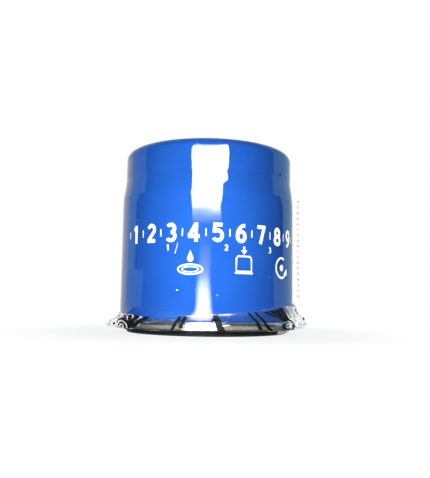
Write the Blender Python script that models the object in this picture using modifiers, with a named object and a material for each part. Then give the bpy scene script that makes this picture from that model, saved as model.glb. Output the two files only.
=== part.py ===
"""Spin-on oil filter, standing on its sealing gasket with the closed end of the can up.

The frame is metres, +Z up. The filter's axis is Z, and z = 0 is the sealing face of the gasket.
From the base up the filter holds: gasket, seaming lid, threaded base plate, anti-drain valve, the
filter element with its bypass valve, and the leaf spring that holds the element down. A clear
film is shrunk over the seam.
"""

import math

import bmesh
import bpy
from mathutils import Matrix, Vector

MM = 0.001

# Driving dimensions: the can
CAN_DIAMETER = 68.0 * MM
NECK_DIAMETER = 66.0 * MM
CAN_WALL = 0.5 * MM
SHOULDER_HEIGHT = 70.0 * MM
SHOULDER_RADIUS = 2.8 * MM
CROWN_RISE = 1.0 * MM
NECK_LENGTH = 12.5 * MM
STEP_LENGTH = 5.5 * MM
MOUTH_DRAW_LENGTH = 1.2 * MM

# Driving dimensions: the rolled seam, its lid and the gasket
SEAM_HEIGHT = 3.2 * MM
SEAM_GAP = 0.15 * MM
SEAM_CORNER = 0.5 * MM
LID_SHEET = 0.4 * MM
LID_FLANGE = 2.6 * MM
GASKET_DIAMETER = 62.4 * MM
GASKET_WIDTH = 3.9 * MM
GASKET_HEIGHT = 5.4 * MM
GASKET_PROUD = 1.9 * MM
GASKET_CHAMFER = 0.4 * MM
GASKET_CLEARANCE = 1.05 * MM

# Driving dimensions: the base plate and the anti-drain valve
BASE_PLATE_THICKNESS = 3.0 * MM
BASE_PLATE_CLEARANCE = 1.2 * MM
THREAD_BORE = 17.4 * MM
HUB_WALL = 2.3 * MM
HUB_LENGTH = 8.5 * MM
HUB_CHAMFER = 0.6 * MM
INLET_COUNT = 8
INLET_DIAMETER = 6.0 * MM
INLET_CIRCLE = 40.0 * MM
DRAIN_VALVE_RUBBER = 1.0 * MM
DRAIN_VALVE_LIP = 53.0 * MM
DRAIN_VALVE_LIP_WIDTH = 3.0 * MM
DRAIN_VALVE_LIFT = 1.2 * MM
DRAIN_VALVE_COLLAR = 3.2 * MM
DRAIN_VALVE_FLANGE = 3.2 * MM

# Driving dimensions: the filter element
CAP_DIAMETER = 60.0 * MM
CAP_SHEET = 0.4 * MM
CAP_RIM = 3.8 * MM
CAP_COLLAR = 2.8 * MM
POTTING_DEPTH = 1.2 * MM
TUBE_BORE = 25.8 * MM
TUBE_WALL = 0.4 * MM
TUBE_HOLE = 4.4 * MM
TUBE_HOLE_COLUMNS = 6
TUBE_HOLE_PITCH = 8.0 * MM
PLEAT_COUNT = 36
PLEAT_FOLD = 1.4 * MM
PAPER_THICKNESS = 0.6 * MM
CLIP_SHEET = 0.4 * MM
CLIP_DEPTH = 5.0 * MM

# Driving dimensions: the bypass valve and the leaf spring
CAGE_BORE = 18.6 * MM
CAGE_DEPTH = 12.0 * MM
CAGE_FLANGE = 5.0 * MM
CAGE_OUTLET = 8.0 * MM
CAGE_WINDOW = 5.0 * MM
CAGE_WINDOW_COUNT = 4
PORT_DIAMETER = 11.6 * MM
PORT_LIP = 1.0 * MM
VALVE_DISC_CLEARANCE = 0.8 * MM
VALVE_DISC_THICKNESS = 0.8 * MM
VALVE_GUIDE_DIAMETER = 8.0 * MM
VALVE_GUIDE_LENGTH = 2.8 * MM
VALVE_RIVET_DIAMETER = 4.6 * MM
SEAL_THICKNESS = 1.0 * MM
SEAL_OVERLAP = 1.8 * MM
SPRING_DIAMETER = 11.2 * MM
SPRING_WIRE = 0.9 * MM
SPRING_COILS = 5
LEAF_SHEET = 0.5 * MM
LEAF_HEIGHT = 5.6 * MM
LEAF_REACH = 25.0 * MM
LEAF_HUB = 27.0 * MM
LEAF_HOLE = 14.0 * MM
LEAF_WIDTH = 10.0 * MM

# Driving dimensions: the shrunk film and its tear strip
FILM_THICKNESS = 0.15 * MM
FILM_HEM = 0.6 * MM
FILM_COVER = 1.4 * MM
FILM_EDGE_RISE = 4.0 * MM
FILM_EAR_REACH = 4.5 * MM
FILM_EAR_WIDTH = math.radians(7.0)
FILM_EAR_ANGLES = (math.radians(-8.0), math.radians(188.0))
TEAR_STRIP_WIDTH = 2.4 * MM
TEAR_STRIP_HEIGHT = 40.0 * MM

# Clearances and mesh resolution
SEAT = 0.3 * MM
RING_STEPS = 36
INNER_STEPS = 36
SMALL_STEPS = 24
FILM_STEPS = 48
HOLE_SIDES = 8
SMOOTH_ANGLE = math.radians(35.0)
MERGE_DISTANCE = 0.00001

# The can's radii, and the layers of the seam round the gasket as radii of their middle surfaces
CAN_RADIUS = CAN_DIAMETER / 2
NECK_RADIUS = NECK_DIAMETER / 2
SEAM_STEP = CAN_WALL / 2 + SEAM_GAP + LID_SHEET / 2
CHUCK_WALL_INSIDE = GASKET_DIAMETER / 2 + GASKET_CLEARANCE
CHUCK_WALL_MIDDLE = CHUCK_WALL_INSIDE + LID_SHEET / 2
MOUTH_MIDDLE = CHUCK_WALL_MIDDLE + SEAM_STEP
MOUTH_RADIUS = MOUTH_MIDDLE + CAN_WALL / 2
LID_HOOK_MIDDLE = MOUTH_MIDDLE + SEAM_STEP
CAN_HOOK_MIDDLE = LID_HOOK_MIDDLE + SEAM_STEP
SEAM_WALL_MIDDLE = CAN_HOOK_MIDDLE + SEAM_STEP
SEAM_RADIUS = SEAM_WALL_MIDDLE + LID_SHEET / 2
SEAM_BOTTOM = GASKET_PROUD
SEAM_TOP = SEAM_BOTTOM + SEAM_HEIGHT
STEP_TOP = SHOULDER_HEIGHT - NECK_LENGTH
STEP_BOTTOM = STEP_TOP - STEP_LENGTH
CROWN_RADIUS = NECK_RADIUS - SHOULDER_RADIUS

# Heights from the gasket up to the lower end cap
LID_FLOOR_BOTTOM = GASKET_HEIGHT + SEAT
LID_FLOOR_MIDDLE = LID_FLOOR_BOTTOM + LID_SHEET / 2
BASE_BOTTOM = LID_FLOOR_BOTTOM + LID_SHEET + SEAT
MOUTH_DRAW_BOTTOM = BASE_BOTTOM
MOUTH_DRAW_TOP = MOUTH_DRAW_BOTTOM + MOUTH_DRAW_LENGTH
BASE_TOP = BASE_BOTTOM + BASE_PLATE_THICKNESS
HUB_RADIUS = THREAD_BORE / 2 + HUB_WALL
DRAIN_VALVE_MIDDLE = HUB_RADIUS + SEAT + DRAIN_VALVE_RUBBER / 2
DRAIN_LIP_MIDDLE = BASE_TOP + SEAT + DRAIN_VALVE_RUBBER / 2
DRAIN_FLANGE_MIDDLE = DRAIN_LIP_MIDDLE + DRAIN_VALVE_LIFT + DRAIN_VALVE_COLLAR
LOWER_CAP_BOTTOM = DRAIN_FLANGE_MIDDLE + DRAIN_VALVE_RUBBER / 2 + SEAT
LOWER_CAP_TOP = LOWER_CAP_BOTTOM + CAP_SHEET

# Heights from the can's crown down to the upper end cap
LEAF_TIP_TOP = SHOULDER_HEIGHT + CROWN_RISE * (1 - (LEAF_REACH / CROWN_RADIUS) ** 2) - CAN_WALL - SEAT
LEAF_BASE_BOTTOM = LEAF_TIP_TOP - LEAF_HEIGHT
PORT_PLATE_BOTTOM = LEAF_BASE_BOTTOM - SEAT - CAP_SHEET
CAGE_FLANGE_BOTTOM = PORT_PLATE_BOTTOM - SEAT - CAP_SHEET
UPPER_CAP_TOP = CAGE_FLANGE_BOTTOM - SEAT
UPPER_CAP_BOTTOM = UPPER_CAP_TOP - CAP_SHEET

# The element between its end caps
CAP_RADIUS = CAP_DIAMETER / 2
TUBE_RADIUS = TUBE_BORE / 2 + TUBE_WALL
CAP_COLLAR_MIDDLE = TUBE_BORE / 2 - SEAT - CAP_SHEET / 2
TUBE_BOTTOM = LOWER_CAP_TOP + SEAT
TUBE_TOP = UPPER_CAP_BOTTOM - SEAT
LOWER_POTTING_TOP = TUBE_BOTTOM + POTTING_DEPTH
UPPER_POTTING_BOTTOM = TUBE_TOP - POTTING_DEPTH
POTTING_INNER = TUBE_RADIUS + SEAT
POTTING_OUTER = CAP_RADIUS - CAP_SHEET - SEAT
MEDIA_BOTTOM = LOWER_POTTING_TOP + SEAT
MEDIA_TOP = UPPER_POTTING_BOTTOM - SEAT
MEDIA_INNER = TUBE_RADIUS + SEAT + PAPER_THICKNESS / 2
MEDIA_OUTER = POTTING_OUTER - PAPER_THICKNESS / 2

# The film's upper edge on the can
FILM_EDGE = MOUTH_DRAW_TOP + FILM_COVER

# The bypass valve under its port
CAGE_WALL_MIDDLE = CAGE_BORE / 2 + CAP_SHEET / 2
CAGE_FLOOR_BOTTOM = CAGE_FLANGE_BOTTOM - CAGE_DEPTH
CAGE_FLOOR_TOP = CAGE_FLOOR_BOTTOM + CAP_SHEET
PORT_LIP_BOTTOM = PORT_PLATE_BOTTOM - PORT_LIP
SEAL_TOP = PORT_LIP_BOTTOM - SEAT
SEAL_BOTTOM = SEAL_TOP - SEAL_THICKNESS
DISC_TOP = SEAL_BOTTOM - SEAT
DISC_BOTTOM = DISC_TOP - VALVE_DISC_THICKNESS
SPRING_TOP = DISC_BOTTOM - SEAT - SPRING_WIRE / 2
SPRING_BOTTOM = CAGE_FLOOR_TOP + SEAT + SPRING_WIRE / 2


def clear_scene():
    """Remove every object, so that the script starts from an empty scene."""
    for obj in list(bpy.data.objects):
        bpy.data.objects.remove(obj, do_unlink=True)


def new_collection(name):
    """A collection of this name, linked to the scene."""
    collection = bpy.data.collections.new(name)
    bpy.context.scene.collection.children.link(collection)
    return collection


def new_material(name, colour, roughness, metallic=0.0, alpha=1.0):
    """A Principled material of one colour, as linear red, green and blue."""
    material = bpy.data.materials.new(name)
    material.use_nodes = True
    shader = material.node_tree.nodes["Principled BSDF"]
    shader.inputs["Base Color"].default_value = (*colour, 1.0)
    shader.inputs["Roughness"].default_value = roughness
    shader.inputs["Metallic"].default_value = metallic
    shader.inputs["Alpha"].default_value = alpha
    material.diffuse_color = (*colour, alpha)
    return material


def arc(centre, radius, start, end, steps):
    """Points (r, z) of an arc, with angles in degrees from the +r direction."""
    points = []
    for i in range(steps + 1):
        angle = math.radians(start + (end - start) * i / steps)
        points.append((centre[0] + radius * math.cos(angle), centre[1] + radius * math.sin(angle)))
    return points


def signed_area(points):
    """Twice the area of a closed outline, positive where it runs anticlockwise."""
    following = points[1:] + points[:1]
    return sum(a[0] * b[1] - b[0] * a[1] for a, b in zip(points, following))


def offset_outline(points, distance):
    """The closed outline moved sideways by distance, with mitred corners."""
    moved = []
    for i, point in enumerate(points):
        here = Vector(point)
        before = (here - Vector(points[i - 1])).normalized()
        after = (Vector(points[(i + 1) % len(points)]) - here).normalized()
        normal_before = Vector((before.y, -before.x))
        normal_after = Vector((after.y, -after.x))
        bisector = (normal_before + normal_after).normalized()
        moved.append(tuple(here + bisector * distance / bisector.dot(normal_before)))
    return moved


def place(obj, collection, parent=None, material=None):
    """Link an object to its collection, parent it and give it its material."""
    collection.objects.link(obj)
    if material is not None:
        obj.data.materials.append(material)
    obj.parent = parent
    return obj


def profile_object(name, profile, closed):
    """A mesh of edges only, which draws a profile of (r, z) points in the XZ plane."""
    edges = [(i, i + 1) for i in range(len(profile) - 1)]
    if closed:
        edges.append((len(profile) - 1, 0))
    mesh = bpy.data.meshes.new(name)
    mesh.from_pydata([(r, 0.0, z) for r, z in profile], edges, [])
    return bpy.data.objects.new(name, mesh)


def add_screw(obj, steps):
    """Turn a profile round the Z axis."""
    screw = obj.modifiers.new("Turn", "SCREW")
    screw.axis = "Z"
    screw.steps = steps
    screw.render_steps = steps
    screw.use_merge_vertices = True
    screw.merge_threshold = MERGE_DISTANCE
    screw.use_smooth_shade = True


def add_sheet_thickness(obj, thickness):
    """Give an open surface its sheet thickness, half on each side."""
    solidify = obj.modifiers.new("Sheet", "SOLIDIFY")
    solidify.thickness = thickness
    solidify.offset = 0.0
    solidify.use_even_offset = True


def add_boolean(obj, other, operation):
    """Cut, join or intersect an object with another one."""
    boolean = obj.modifiers.new(operation.title(), "BOOLEAN")
    boolean.operation = operation
    boolean.solver = "EXACT"
    boolean.object = other


def turned_ring(name, section, steps):
    """A solid ring or shaft from a closed section of (r, z) points, turned round the axis."""
    ordered = section if signed_area(section) < 0 else section[::-1]
    obj = profile_object(name, ordered, closed=True)
    add_screw(obj, steps)
    return obj


def turned_sheet(name, path, thickness, steps):
    """A pressed sheet part: a path of (r, z) points turned round the axis, with a thickness."""
    obj = profile_object(name, path, closed=False)
    add_screw(obj, steps)
    add_sheet_thickness(obj, thickness)
    return obj


def hide_cutter(obj, collection):
    """Keep a cutter in its own collection, out of the finished object."""
    collection.objects.link(obj)
    obj.hide_render = True
    obj.display_type = "WIRE"
    return obj


def pin_cutter(name, pins, radius, length, collection):
    """One cutter of separate round pins, each placed by a matrix that points its Z along the pin."""
    mesh_builder = bmesh.new()
    for matrix in pins:
        bmesh.ops.create_cone(
            mesh_builder,
            cap_ends=True,
            segments=HOLE_SIDES,
            radius1=radius,
            radius2=radius,
            depth=length,
            matrix=matrix,
        )
    mesh = bpy.data.meshes.new(name)
    mesh_builder.to_mesh(mesh)
    mesh_builder.free()
    return hide_cutter(bpy.data.objects.new(name, mesh), collection)


def radial_pin(angle, radius, height):
    """A matrix at this radius and height whose Z axis points away from the filter's axis."""
    turn = Matrix.Rotation(angle, 4, "Z")
    lay_down = Matrix.Rotation(math.radians(90.0), 4, "Y")
    return turn @ Matrix.Translation((radius, 0.0, height)) @ lay_down


def flat_outline(name, outlines, bottom, top):
    """A prism from closed outlines in the XY plane. A second outline inside the first is a hole."""
    curve = bpy.data.curves.new(name, "CURVE")
    curve.dimensions = "2D"
    curve.fill_mode = "BOTH"
    curve.extrude = (top - bottom) / 2
    for outline in outlines:
        spline = curve.splines.new("POLY")
        spline.points.add(len(outline) - 1)
        spline.use_cyclic_u = True
        for point, (x, y) in zip(spline.points, outline):
            point.co = (x, y, 0.0, 1.0)
    obj = bpy.data.objects.new(name, curve)
    obj.location.z = (top + bottom) / 2
    return obj


def can_path():
    """The can's middle surface: crown, shoulder, neck, step, body, drawn-in mouth and hook."""
    half = CAN_WALL / 2
    crown_steps = 3
    path = []
    for i in range(crown_steps):
        share = i / crown_steps
        path.append((CROWN_RADIUS * share, SHOULDER_HEIGHT + CROWN_RISE * (1 - share**2) - half))
    shoulder = (CROWN_RADIUS, SHOULDER_HEIGHT - SHOULDER_RADIUS)
    path += arc(shoulder, SHOULDER_RADIUS - half, 88, 0, 4)
    step_steps = 4
    for i in range(step_steps + 1):
        share = i / step_steps
        eased = (1 - math.cos(math.pi * share)) / 2
        radius = NECK_RADIUS + (CAN_RADIUS - NECK_RADIUS) * eased
        path.append((radius - half, STEP_TOP - STEP_LENGTH * share))
    path.append((CAN_RADIUS - half, MOUTH_DRAW_TOP))
    path.append((MOUTH_MIDDLE, MOUTH_DRAW_BOTTOM))
    bend_radius = (CAN_HOOK_MIDDLE - MOUTH_MIDDLE) / 2
    bend_centre = (LID_HOOK_MIDDLE, SEAM_BOTTOM + LID_SHEET + SEAM_GAP + half + bend_radius)
    path += arc(bend_centre, bend_radius, 180, 360, 3)
    path.append((CAN_HOOK_MIDDLE, SEAM_TOP - LID_SHEET - SEAM_GAP))
    return path


def build_can():
    """The deep-drawn can, one steel sheet from the crown to the hook in the seam."""
    return turned_sheet("can", can_path(), CAN_WALL, RING_STEPS)


def build_seaming_lid():
    """The lid that is rolled round the can's hook and holds the gasket in a channel."""
    half = LID_SHEET / 2
    flange_middle = GASKET_DIAMETER / 2 - GASKET_WIDTH - SEAT - half
    floor = SEAM_BOTTOM + half
    roof = SEAM_TOP - half
    corner = SEAM_CORNER - half
    hook_end = SEAM_BOTTOM + LID_SHEET + SEAM_GAP + CAN_WALL + SEAM_STEP
    path = [
        (flange_middle, LID_FLOOR_BOTTOM - LID_FLANGE),
        (flange_middle, LID_FLOOR_MIDDLE),
        (CHUCK_WALL_MIDDLE, LID_FLOOR_MIDDLE),
        (CHUCK_WALL_MIDDLE, floor),
    ]
    path += arc((SEAM_WALL_MIDDLE - corner, floor + corner), corner, -90, 0, 2)
    path += arc((SEAM_WALL_MIDDLE - corner, roof - corner), corner, 0, 90, 2)
    path += [(LID_HOOK_MIDDLE, roof), (LID_HOOK_MIDDLE, hook_end)]
    return turned_sheet("seaming_lid", path, LID_SHEET, RING_STEPS)


def build_base_gasket():
    """The square rubber ring that seals against the engine. Its bottom is the sealing face."""
    outer = GASKET_DIAMETER / 2
    inner = outer - GASKET_WIDTH
    cut = GASKET_CHAMFER
    section = [
        (inner + cut, 0.0),
        (outer - cut, 0.0),
        (outer, cut),
        (outer, GASKET_HEIGHT),
        (inner, GASKET_HEIGHT),
        (inner, cut),
    ]
    return turned_ring("base_gasket", section, RING_STEPS)


def build_base_plate(cutters):
    """The thick plate with the drawn hub that takes the stud, and the ring of oil inlets."""
    outer = min(CHUCK_WALL_INSIDE, CAN_RADIUS - CAN_WALL) - BASE_PLATE_CLEARANCE
    bore = THREAD_BORE / 2
    hub_top = BASE_BOTTOM + HUB_LENGTH
    section = [
        (bore + HUB_CHAMFER, BASE_BOTTOM),
        (outer, BASE_BOTTOM),
        (outer, BASE_TOP),
        (HUB_RADIUS, BASE_TOP),
        (HUB_RADIUS, hub_top),
        (bore + HUB_CHAMFER, hub_top),
        (bore, hub_top - HUB_CHAMFER),
        (bore, BASE_BOTTOM + HUB_CHAMFER),
    ]
    plate = turned_ring("base_plate", section, RING_STEPS)
    middle = (BASE_BOTTOM + BASE_TOP) / 2
    pins = []
    for i in range(INLET_COUNT):
        turn = Matrix.Rotation(math.tau * i / INLET_COUNT, 4, "Z")
        pins.append(turn @ Matrix.Translation((INLET_CIRCLE / 2, 0.0, middle)))
    inlets = pin_cutter("inlet_cutter", pins, INLET_DIAMETER / 2, 2 * BASE_PLATE_THICKNESS, cutters)
    add_boolean(plate, inlets, "DIFFERENCE")
    return plate


def build_anti_drain_valve():
    """The rubber diaphragm round the hub, whose lip lies on the base plate outside the inlets."""
    lip = DRAIN_VALVE_LIP / 2
    skirt_top = DRAIN_LIP_MIDDLE + DRAIN_VALVE_LIFT
    path = [
        (DRAIN_VALVE_MIDDLE + DRAIN_VALVE_FLANGE, DRAIN_FLANGE_MIDDLE),
        (DRAIN_VALVE_MIDDLE, DRAIN_FLANGE_MIDDLE),
        (DRAIN_VALVE_MIDDLE, skirt_top),
        (INLET_CIRCLE / 2 - INLET_DIAMETER / 2, skirt_top),
        (lip - DRAIN_VALVE_LIP_WIDTH, DRAIN_LIP_MIDDLE),
        (lip, DRAIN_LIP_MIDDLE),
    ]
    return turned_sheet("anti_drain_valve", path, DRAIN_VALVE_RUBBER, RING_STEPS)


def build_end_cap(name, plate_middle, inward):
    """A pressed cap with a rim round the pleats and a collar in the tube, both pointing inward."""
    rim_middle = CAP_RADIUS - CAP_SHEET / 2
    path = [
        (rim_middle, plate_middle + inward * CAP_RIM),
        (rim_middle, plate_middle),
        (CAP_COLLAR_MIDDLE, plate_middle),
        (CAP_COLLAR_MIDDLE, plate_middle + inward * CAP_COLLAR),
    ]
    return turned_sheet(name, path, CAP_SHEET, INNER_STEPS)


def build_potting(name, bottom, top):
    """The ring of adhesive that bonds the pleat ends to a cap."""
    section = [
        (POTTING_INNER, bottom),
        (POTTING_OUTER, bottom),
        (POTTING_OUTER, top),
        (POTTING_INNER, top),
    ]
    return turned_ring(name, section, INNER_STEPS)


def pleat_outline():
    """The middle line of the folded paper, as a closed outline in the XY plane."""
    pitch = math.tau / PLEAT_COUNT
    outer_half = PLEAT_FOLD / 2 / MEDIA_OUTER
    inner_half = pitch / 4
    outline = []
    for i in range(PLEAT_COUNT):
        middle = pitch * i
        corners = [
            (MEDIA_INNER, middle - pitch / 2 + inner_half),
            (MEDIA_OUTER, middle - outer_half),
            (MEDIA_OUTER, middle + outer_half),
            (MEDIA_INNER, middle + pitch / 2 - inner_half),
        ]
        outline += [(r * math.cos(a), r * math.sin(a)) for r, a in corners]
    return outline


def build_filter_media():
    """The pleated paper, one folded strip closed into a ring."""
    middle = pleat_outline()
    half = PAPER_THICKNESS / 2
    outlines = [offset_outline(middle, half), offset_outline(middle, -half)]
    return flat_outline("filter_media", outlines, MEDIA_BOTTOM, MEDIA_TOP)


def build_media_seam_clip():
    """The folded steel strip that grips the pleat where the paper's two ends meet."""
    inside = PLEAT_FOLD / 2 + PAPER_THICKNESS / 2 + SEAT
    outside = inside + CLIP_SHEET
    back = MEDIA_OUTER + PAPER_THICKNESS / 2 + SEAT
    front = back - CLIP_DEPTH
    outline = [
        (front, -outside),
        (back + CLIP_SHEET, -outside),
        (back + CLIP_SHEET, outside),
        (front, outside),
        (front, inside),
        (back, inside),
        (back, -inside),
        (front, -inside),
    ]
    bottom = LOWER_CAP_BOTTOM + CAP_SHEET / 2 + CAP_RIM + SEAT
    top = UPPER_CAP_TOP - CAP_SHEET / 2 - CAP_RIM - SEAT
    return flat_outline("media_seam_clip", [outline], bottom, top)


def build_centre_tube(cutters):
    """The perforated steel tube that holds the paper against the oil's pressure."""
    middle = TUBE_BORE / 2 + TUBE_WALL / 2
    tube = turned_sheet("centre_tube", [(middle, TUBE_TOP), (middle, TUBE_BOTTOM)], TUBE_WALL, INNER_STEPS)
    clear_height = (TUBE_TOP - CAP_COLLAR) - (TUBE_BOTTOM + CAP_COLLAR)
    rows = int(clear_height // TUBE_HOLE_PITCH)
    first = (TUBE_TOP + TUBE_BOTTOM) / 2 - TUBE_HOLE_PITCH * (rows - 1) / 2
    pins = []
    for row in range(rows):
        for column in range(TUBE_HOLE_COLUMNS):
            angle = math.tau * (column + row % 2 / 2) / TUBE_HOLE_COLUMNS
            pins.append(radial_pin(angle, middle, first + row * TUBE_HOLE_PITCH))
    holes = pin_cutter("tube_hole_cutter", pins, TUBE_HOLE / 2, 8 * TUBE_WALL, cutters)
    add_boolean(tube, holes, "DIFFERENCE")
    return tube


def build_bypass_cage(cutters):
    """The pressed cup that hangs in the tube and carries the bypass spring."""
    path = [
        (CAGE_WALL_MIDDLE + CAGE_FLANGE, CAGE_FLANGE_BOTTOM + CAP_SHEET / 2),
        (CAGE_WALL_MIDDLE, CAGE_FLANGE_BOTTOM + CAP_SHEET / 2),
        (CAGE_WALL_MIDDLE, CAGE_FLOOR_BOTTOM + CAP_SHEET / 2),
        (CAGE_OUTLET / 2, CAGE_FLOOR_BOTTOM + CAP_SHEET / 2),
    ]
    cage = turned_sheet("bypass_cage", path, CAP_SHEET, SMALL_STEPS)
    height = CAGE_FLOOR_TOP + SEAT + CAGE_WINDOW / 2
    pins = []
    for i in range(CAGE_WINDOW_COUNT):
        pins.append(radial_pin(math.tau * (i + 0.5) / CAGE_WINDOW_COUNT, CAGE_WALL_MIDDLE, height))
    windows = pin_cutter("cage_window_cutter", pins, CAGE_WINDOW / 2, 8 * CAP_SHEET, cutters)
    add_boolean(cage, windows, "DIFFERENCE")
    return cage


def build_bypass_port():
    """The plate over the cage, whose turned-down lip is the valve's seat."""
    lip_middle = PORT_DIAMETER / 2 + CAP_SHEET / 2
    plate_middle = PORT_PLATE_BOTTOM + CAP_SHEET / 2
    path = [
        (CAGE_WALL_MIDDLE + CAGE_FLANGE, plate_middle),
        (lip_middle, plate_middle),
        (lip_middle, PORT_LIP_BOTTOM),
    ]
    return turned_sheet("bypass_port", path, CAP_SHEET, SMALL_STEPS)


def build_bypass_disc():
    """The valve disc, with a rivet that centres its seal and a guide that centres the spring."""
    outer = CAGE_BORE / 2 - VALVE_DISC_CLEARANCE
    rivet = VALVE_RIVET_DIAMETER / 2
    guide = VALVE_GUIDE_DIAMETER / 2
    rivet_top = SEAL_TOP - SEAT
    section = [
        (0.0, rivet_top),
        (rivet, rivet_top),
        (rivet, DISC_TOP),
        (outer, DISC_TOP),
        (outer, DISC_BOTTOM),
        (guide, DISC_BOTTOM),
        (guide, DISC_BOTTOM - VALVE_GUIDE_LENGTH),
        (0.0, DISC_BOTTOM - VALVE_GUIDE_LENGTH),
    ]
    obj = profile_object("bypass_disc", section, closed=False)
    add_screw(obj, SMALL_STEPS)
    return obj


def build_bypass_seal():
    """The rubber washer on the disc, which closes on the lip of the port."""
    inner = VALVE_RIVET_DIAMETER / 2 + SEAT
    outer = PORT_DIAMETER / 2 + SEAL_OVERLAP
    section = [(inner, SEAL_BOTTOM), (outer, SEAL_BOTTOM), (outer, SEAL_TOP), (inner, SEAL_TOP)]
    return turned_ring("bypass_seal", section, SMALL_STEPS)


def spring_points():
    """The bypass spring's middle line: a helix from the cage's floor to the disc."""
    points_per_coil = 10
    count = SPRING_COILS * points_per_coil
    points = []
    for i in range(count + 1):
        angle = math.tau * i / points_per_coil
        height = SPRING_BOTTOM + (SPRING_TOP - SPRING_BOTTOM) * i / count
        radius = SPRING_DIAMETER / 2
        points.append(Vector((radius * math.cos(angle), radius * math.sin(angle), height)))
    return points


def build_bypass_spring():
    """The coil spring that holds the bypass valve shut."""
    points = spring_points()
    curve = bpy.data.curves.new("bypass_spring", "CURVE")
    curve.dimensions = "3D"
    curve.bevel_depth = SPRING_WIRE / 2
    curve.bevel_resolution = 1
    curve.use_fill_caps = True
    spline = curve.splines.new("POLY")
    spline.points.add(len(points) - 1)
    for target, point in zip(spline.points, points):
        target.co = (*point, 1.0)
    half_coil = len(points) // SPRING_COILS // 2
    gaps = [
        (a - b).length - SPRING_WIRE
        for i, a in enumerate(points)
        for b in points[i + half_coil :]
    ]
    print(f"bypass_spring: least gap between coils {min(gaps) / MM:.2f} mm")
    return bpy.data.objects.new("bypass_spring", curve)


def box_cutter(name, size, height, angle, collection):
    """A box centred on the axis at this height, turned about Z by an angle."""
    mesh_builder = bmesh.new()
    matrix = (
        Matrix.Translation((0.0, 0.0, height))
        @ Matrix.Rotation(angle, 4, "Z")
        @ Matrix.Diagonal((*size, 1.0))
    )
    bmesh.ops.create_cube(mesh_builder, size=1.0, matrix=matrix)
    mesh = bpy.data.meshes.new(name)
    mesh_builder.to_mesh(mesh)
    mesh_builder.free()
    return hide_cutter(bpy.data.objects.new(name, mesh), collection)


def build_leaf_spring(cutters):
    """The four-legged spring between the element and the crown: a dished sheet cut to a cross."""
    half = LEAF_SHEET / 2
    base = LEAF_BASE_BOTTOM + half
    tip = LEAF_TIP_TOP - half
    hub = LEAF_HUB / 2
    rise_steps = 5
    path = [(LEAF_HOLE / 2, base)]
    for i in range(rise_steps + 1):
        share = i / rise_steps
        eased = (1 - math.cos(math.pi * share)) / 2
        path.append((hub + (LEAF_REACH - hub) * share, base + (tip - base) * eased))
    leaf = turned_sheet("leaf_spring", path, LEAF_SHEET, RING_STEPS)
    middle = (LEAF_BASE_BOTTOM + LEAF_TIP_TOP) / 2
    tall = 4 * LEAF_HEIGHT
    stencil = pin_cutter("leaf_stencil", [Matrix.Translation((0.0, 0.0, middle))], hub, tall, cutters)
    bar_size = (4 * LEAF_REACH, LEAF_WIDTH, 2 * LEAF_HEIGHT)
    for i in range(2):
        bar = box_cutter(f"leaf_bar_{i + 1}", bar_size, middle, math.radians(90.0 * i), cutters)
        add_boolean(stencil, bar, "UNION")
    add_boolean(leaf, stencil, "INTERSECT")
    return leaf


def film_path():
    """The film's middle surface from its hem at the gasket, round the seam, to the edge on the can."""
    stand_off = SEAT + FILM_THICKNESS / 2
    gasket = GASKET_DIAMETER / 2 + stand_off
    under = SEAM_BOTTOM - stand_off
    outer = SEAM_RADIUS + stand_off
    body = CAN_RADIUS + stand_off
    shoulder = SEAM_TOP + stand_off
    above_seam = max(MOUTH_RADIUS, CAN_RADIUS) + stand_off
    return [
        (gasket, FILM_HEM),
        (gasket + SEAM_CORNER, under),
        (outer - SEAM_CORNER, under),
        (outer, under + SEAM_CORNER),
        (outer, shoulder - SEAM_CORNER),
        (outer - SEAM_CORNER, shoulder),
        (above_seam, MOUTH_DRAW_BOTTOM),
        (body, MOUTH_DRAW_TOP),
        (body, FILM_EDGE),
    ]


def ear_share(angle):
    """How far the film is pulled out into an ear at this angle, from 0 to 1."""
    shares = []
    for ear in FILM_EAR_ANGLES:
        away = math.remainder(angle - ear, math.tau) / FILM_EAR_WIDTH
        shares.append(math.exp(-(away**2)))
    return max(shares)


def build_seal_film():
    """The clear film shrunk over the seam, with its slack gathered into an ear on each side."""
    path = film_path()
    mesh_builder = bmesh.new()
    points = [mesh_builder.verts.new((r, 0.0, z)) for r, z in path]
    edges = [mesh_builder.edges.new(pair) for pair in zip(points, points[1:])]
    bmesh.ops.spin(
        mesh_builder,
        geom=points + edges,
        axis=(0.0, 0.0, 1.0),
        cent=(0.0, 0.0, 0.0),
        angle=math.tau,
        steps=FILM_STEPS,
        use_merge=True,
    )
    bmesh.ops.recalc_face_normals(mesh_builder, faces=mesh_builder.faces)
    for vertex in mesh_builder.verts:
        angle = math.atan2(vertex.co.y, vertex.co.x)
        radius = vertex.co.xy.length
        height_share = (vertex.co.z - FILM_HEM) / (FILM_EDGE - FILM_HEM)
        pull = math.sin(math.pi * height_share) * ear_share(angle)
        stretched = radius + FILM_EAR_REACH * max(pull, 0.0)
        rise = FILM_EDGE_RISE * (1 + math.cos(angle)) / 2
        vertex.co.z += rise * max(height_share, 0.0) ** 3
        vertex.co.xy = (stretched * math.cos(angle), stretched * math.sin(angle))
    mesh = bpy.data.meshes.new("seal_film")
    mesh_builder.to_mesh(mesh)
    mesh_builder.free()
    film = bpy.data.objects.new("seal_film", mesh)
    add_sheet_thickness(film, FILM_THICKNESS)
    return film


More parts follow.
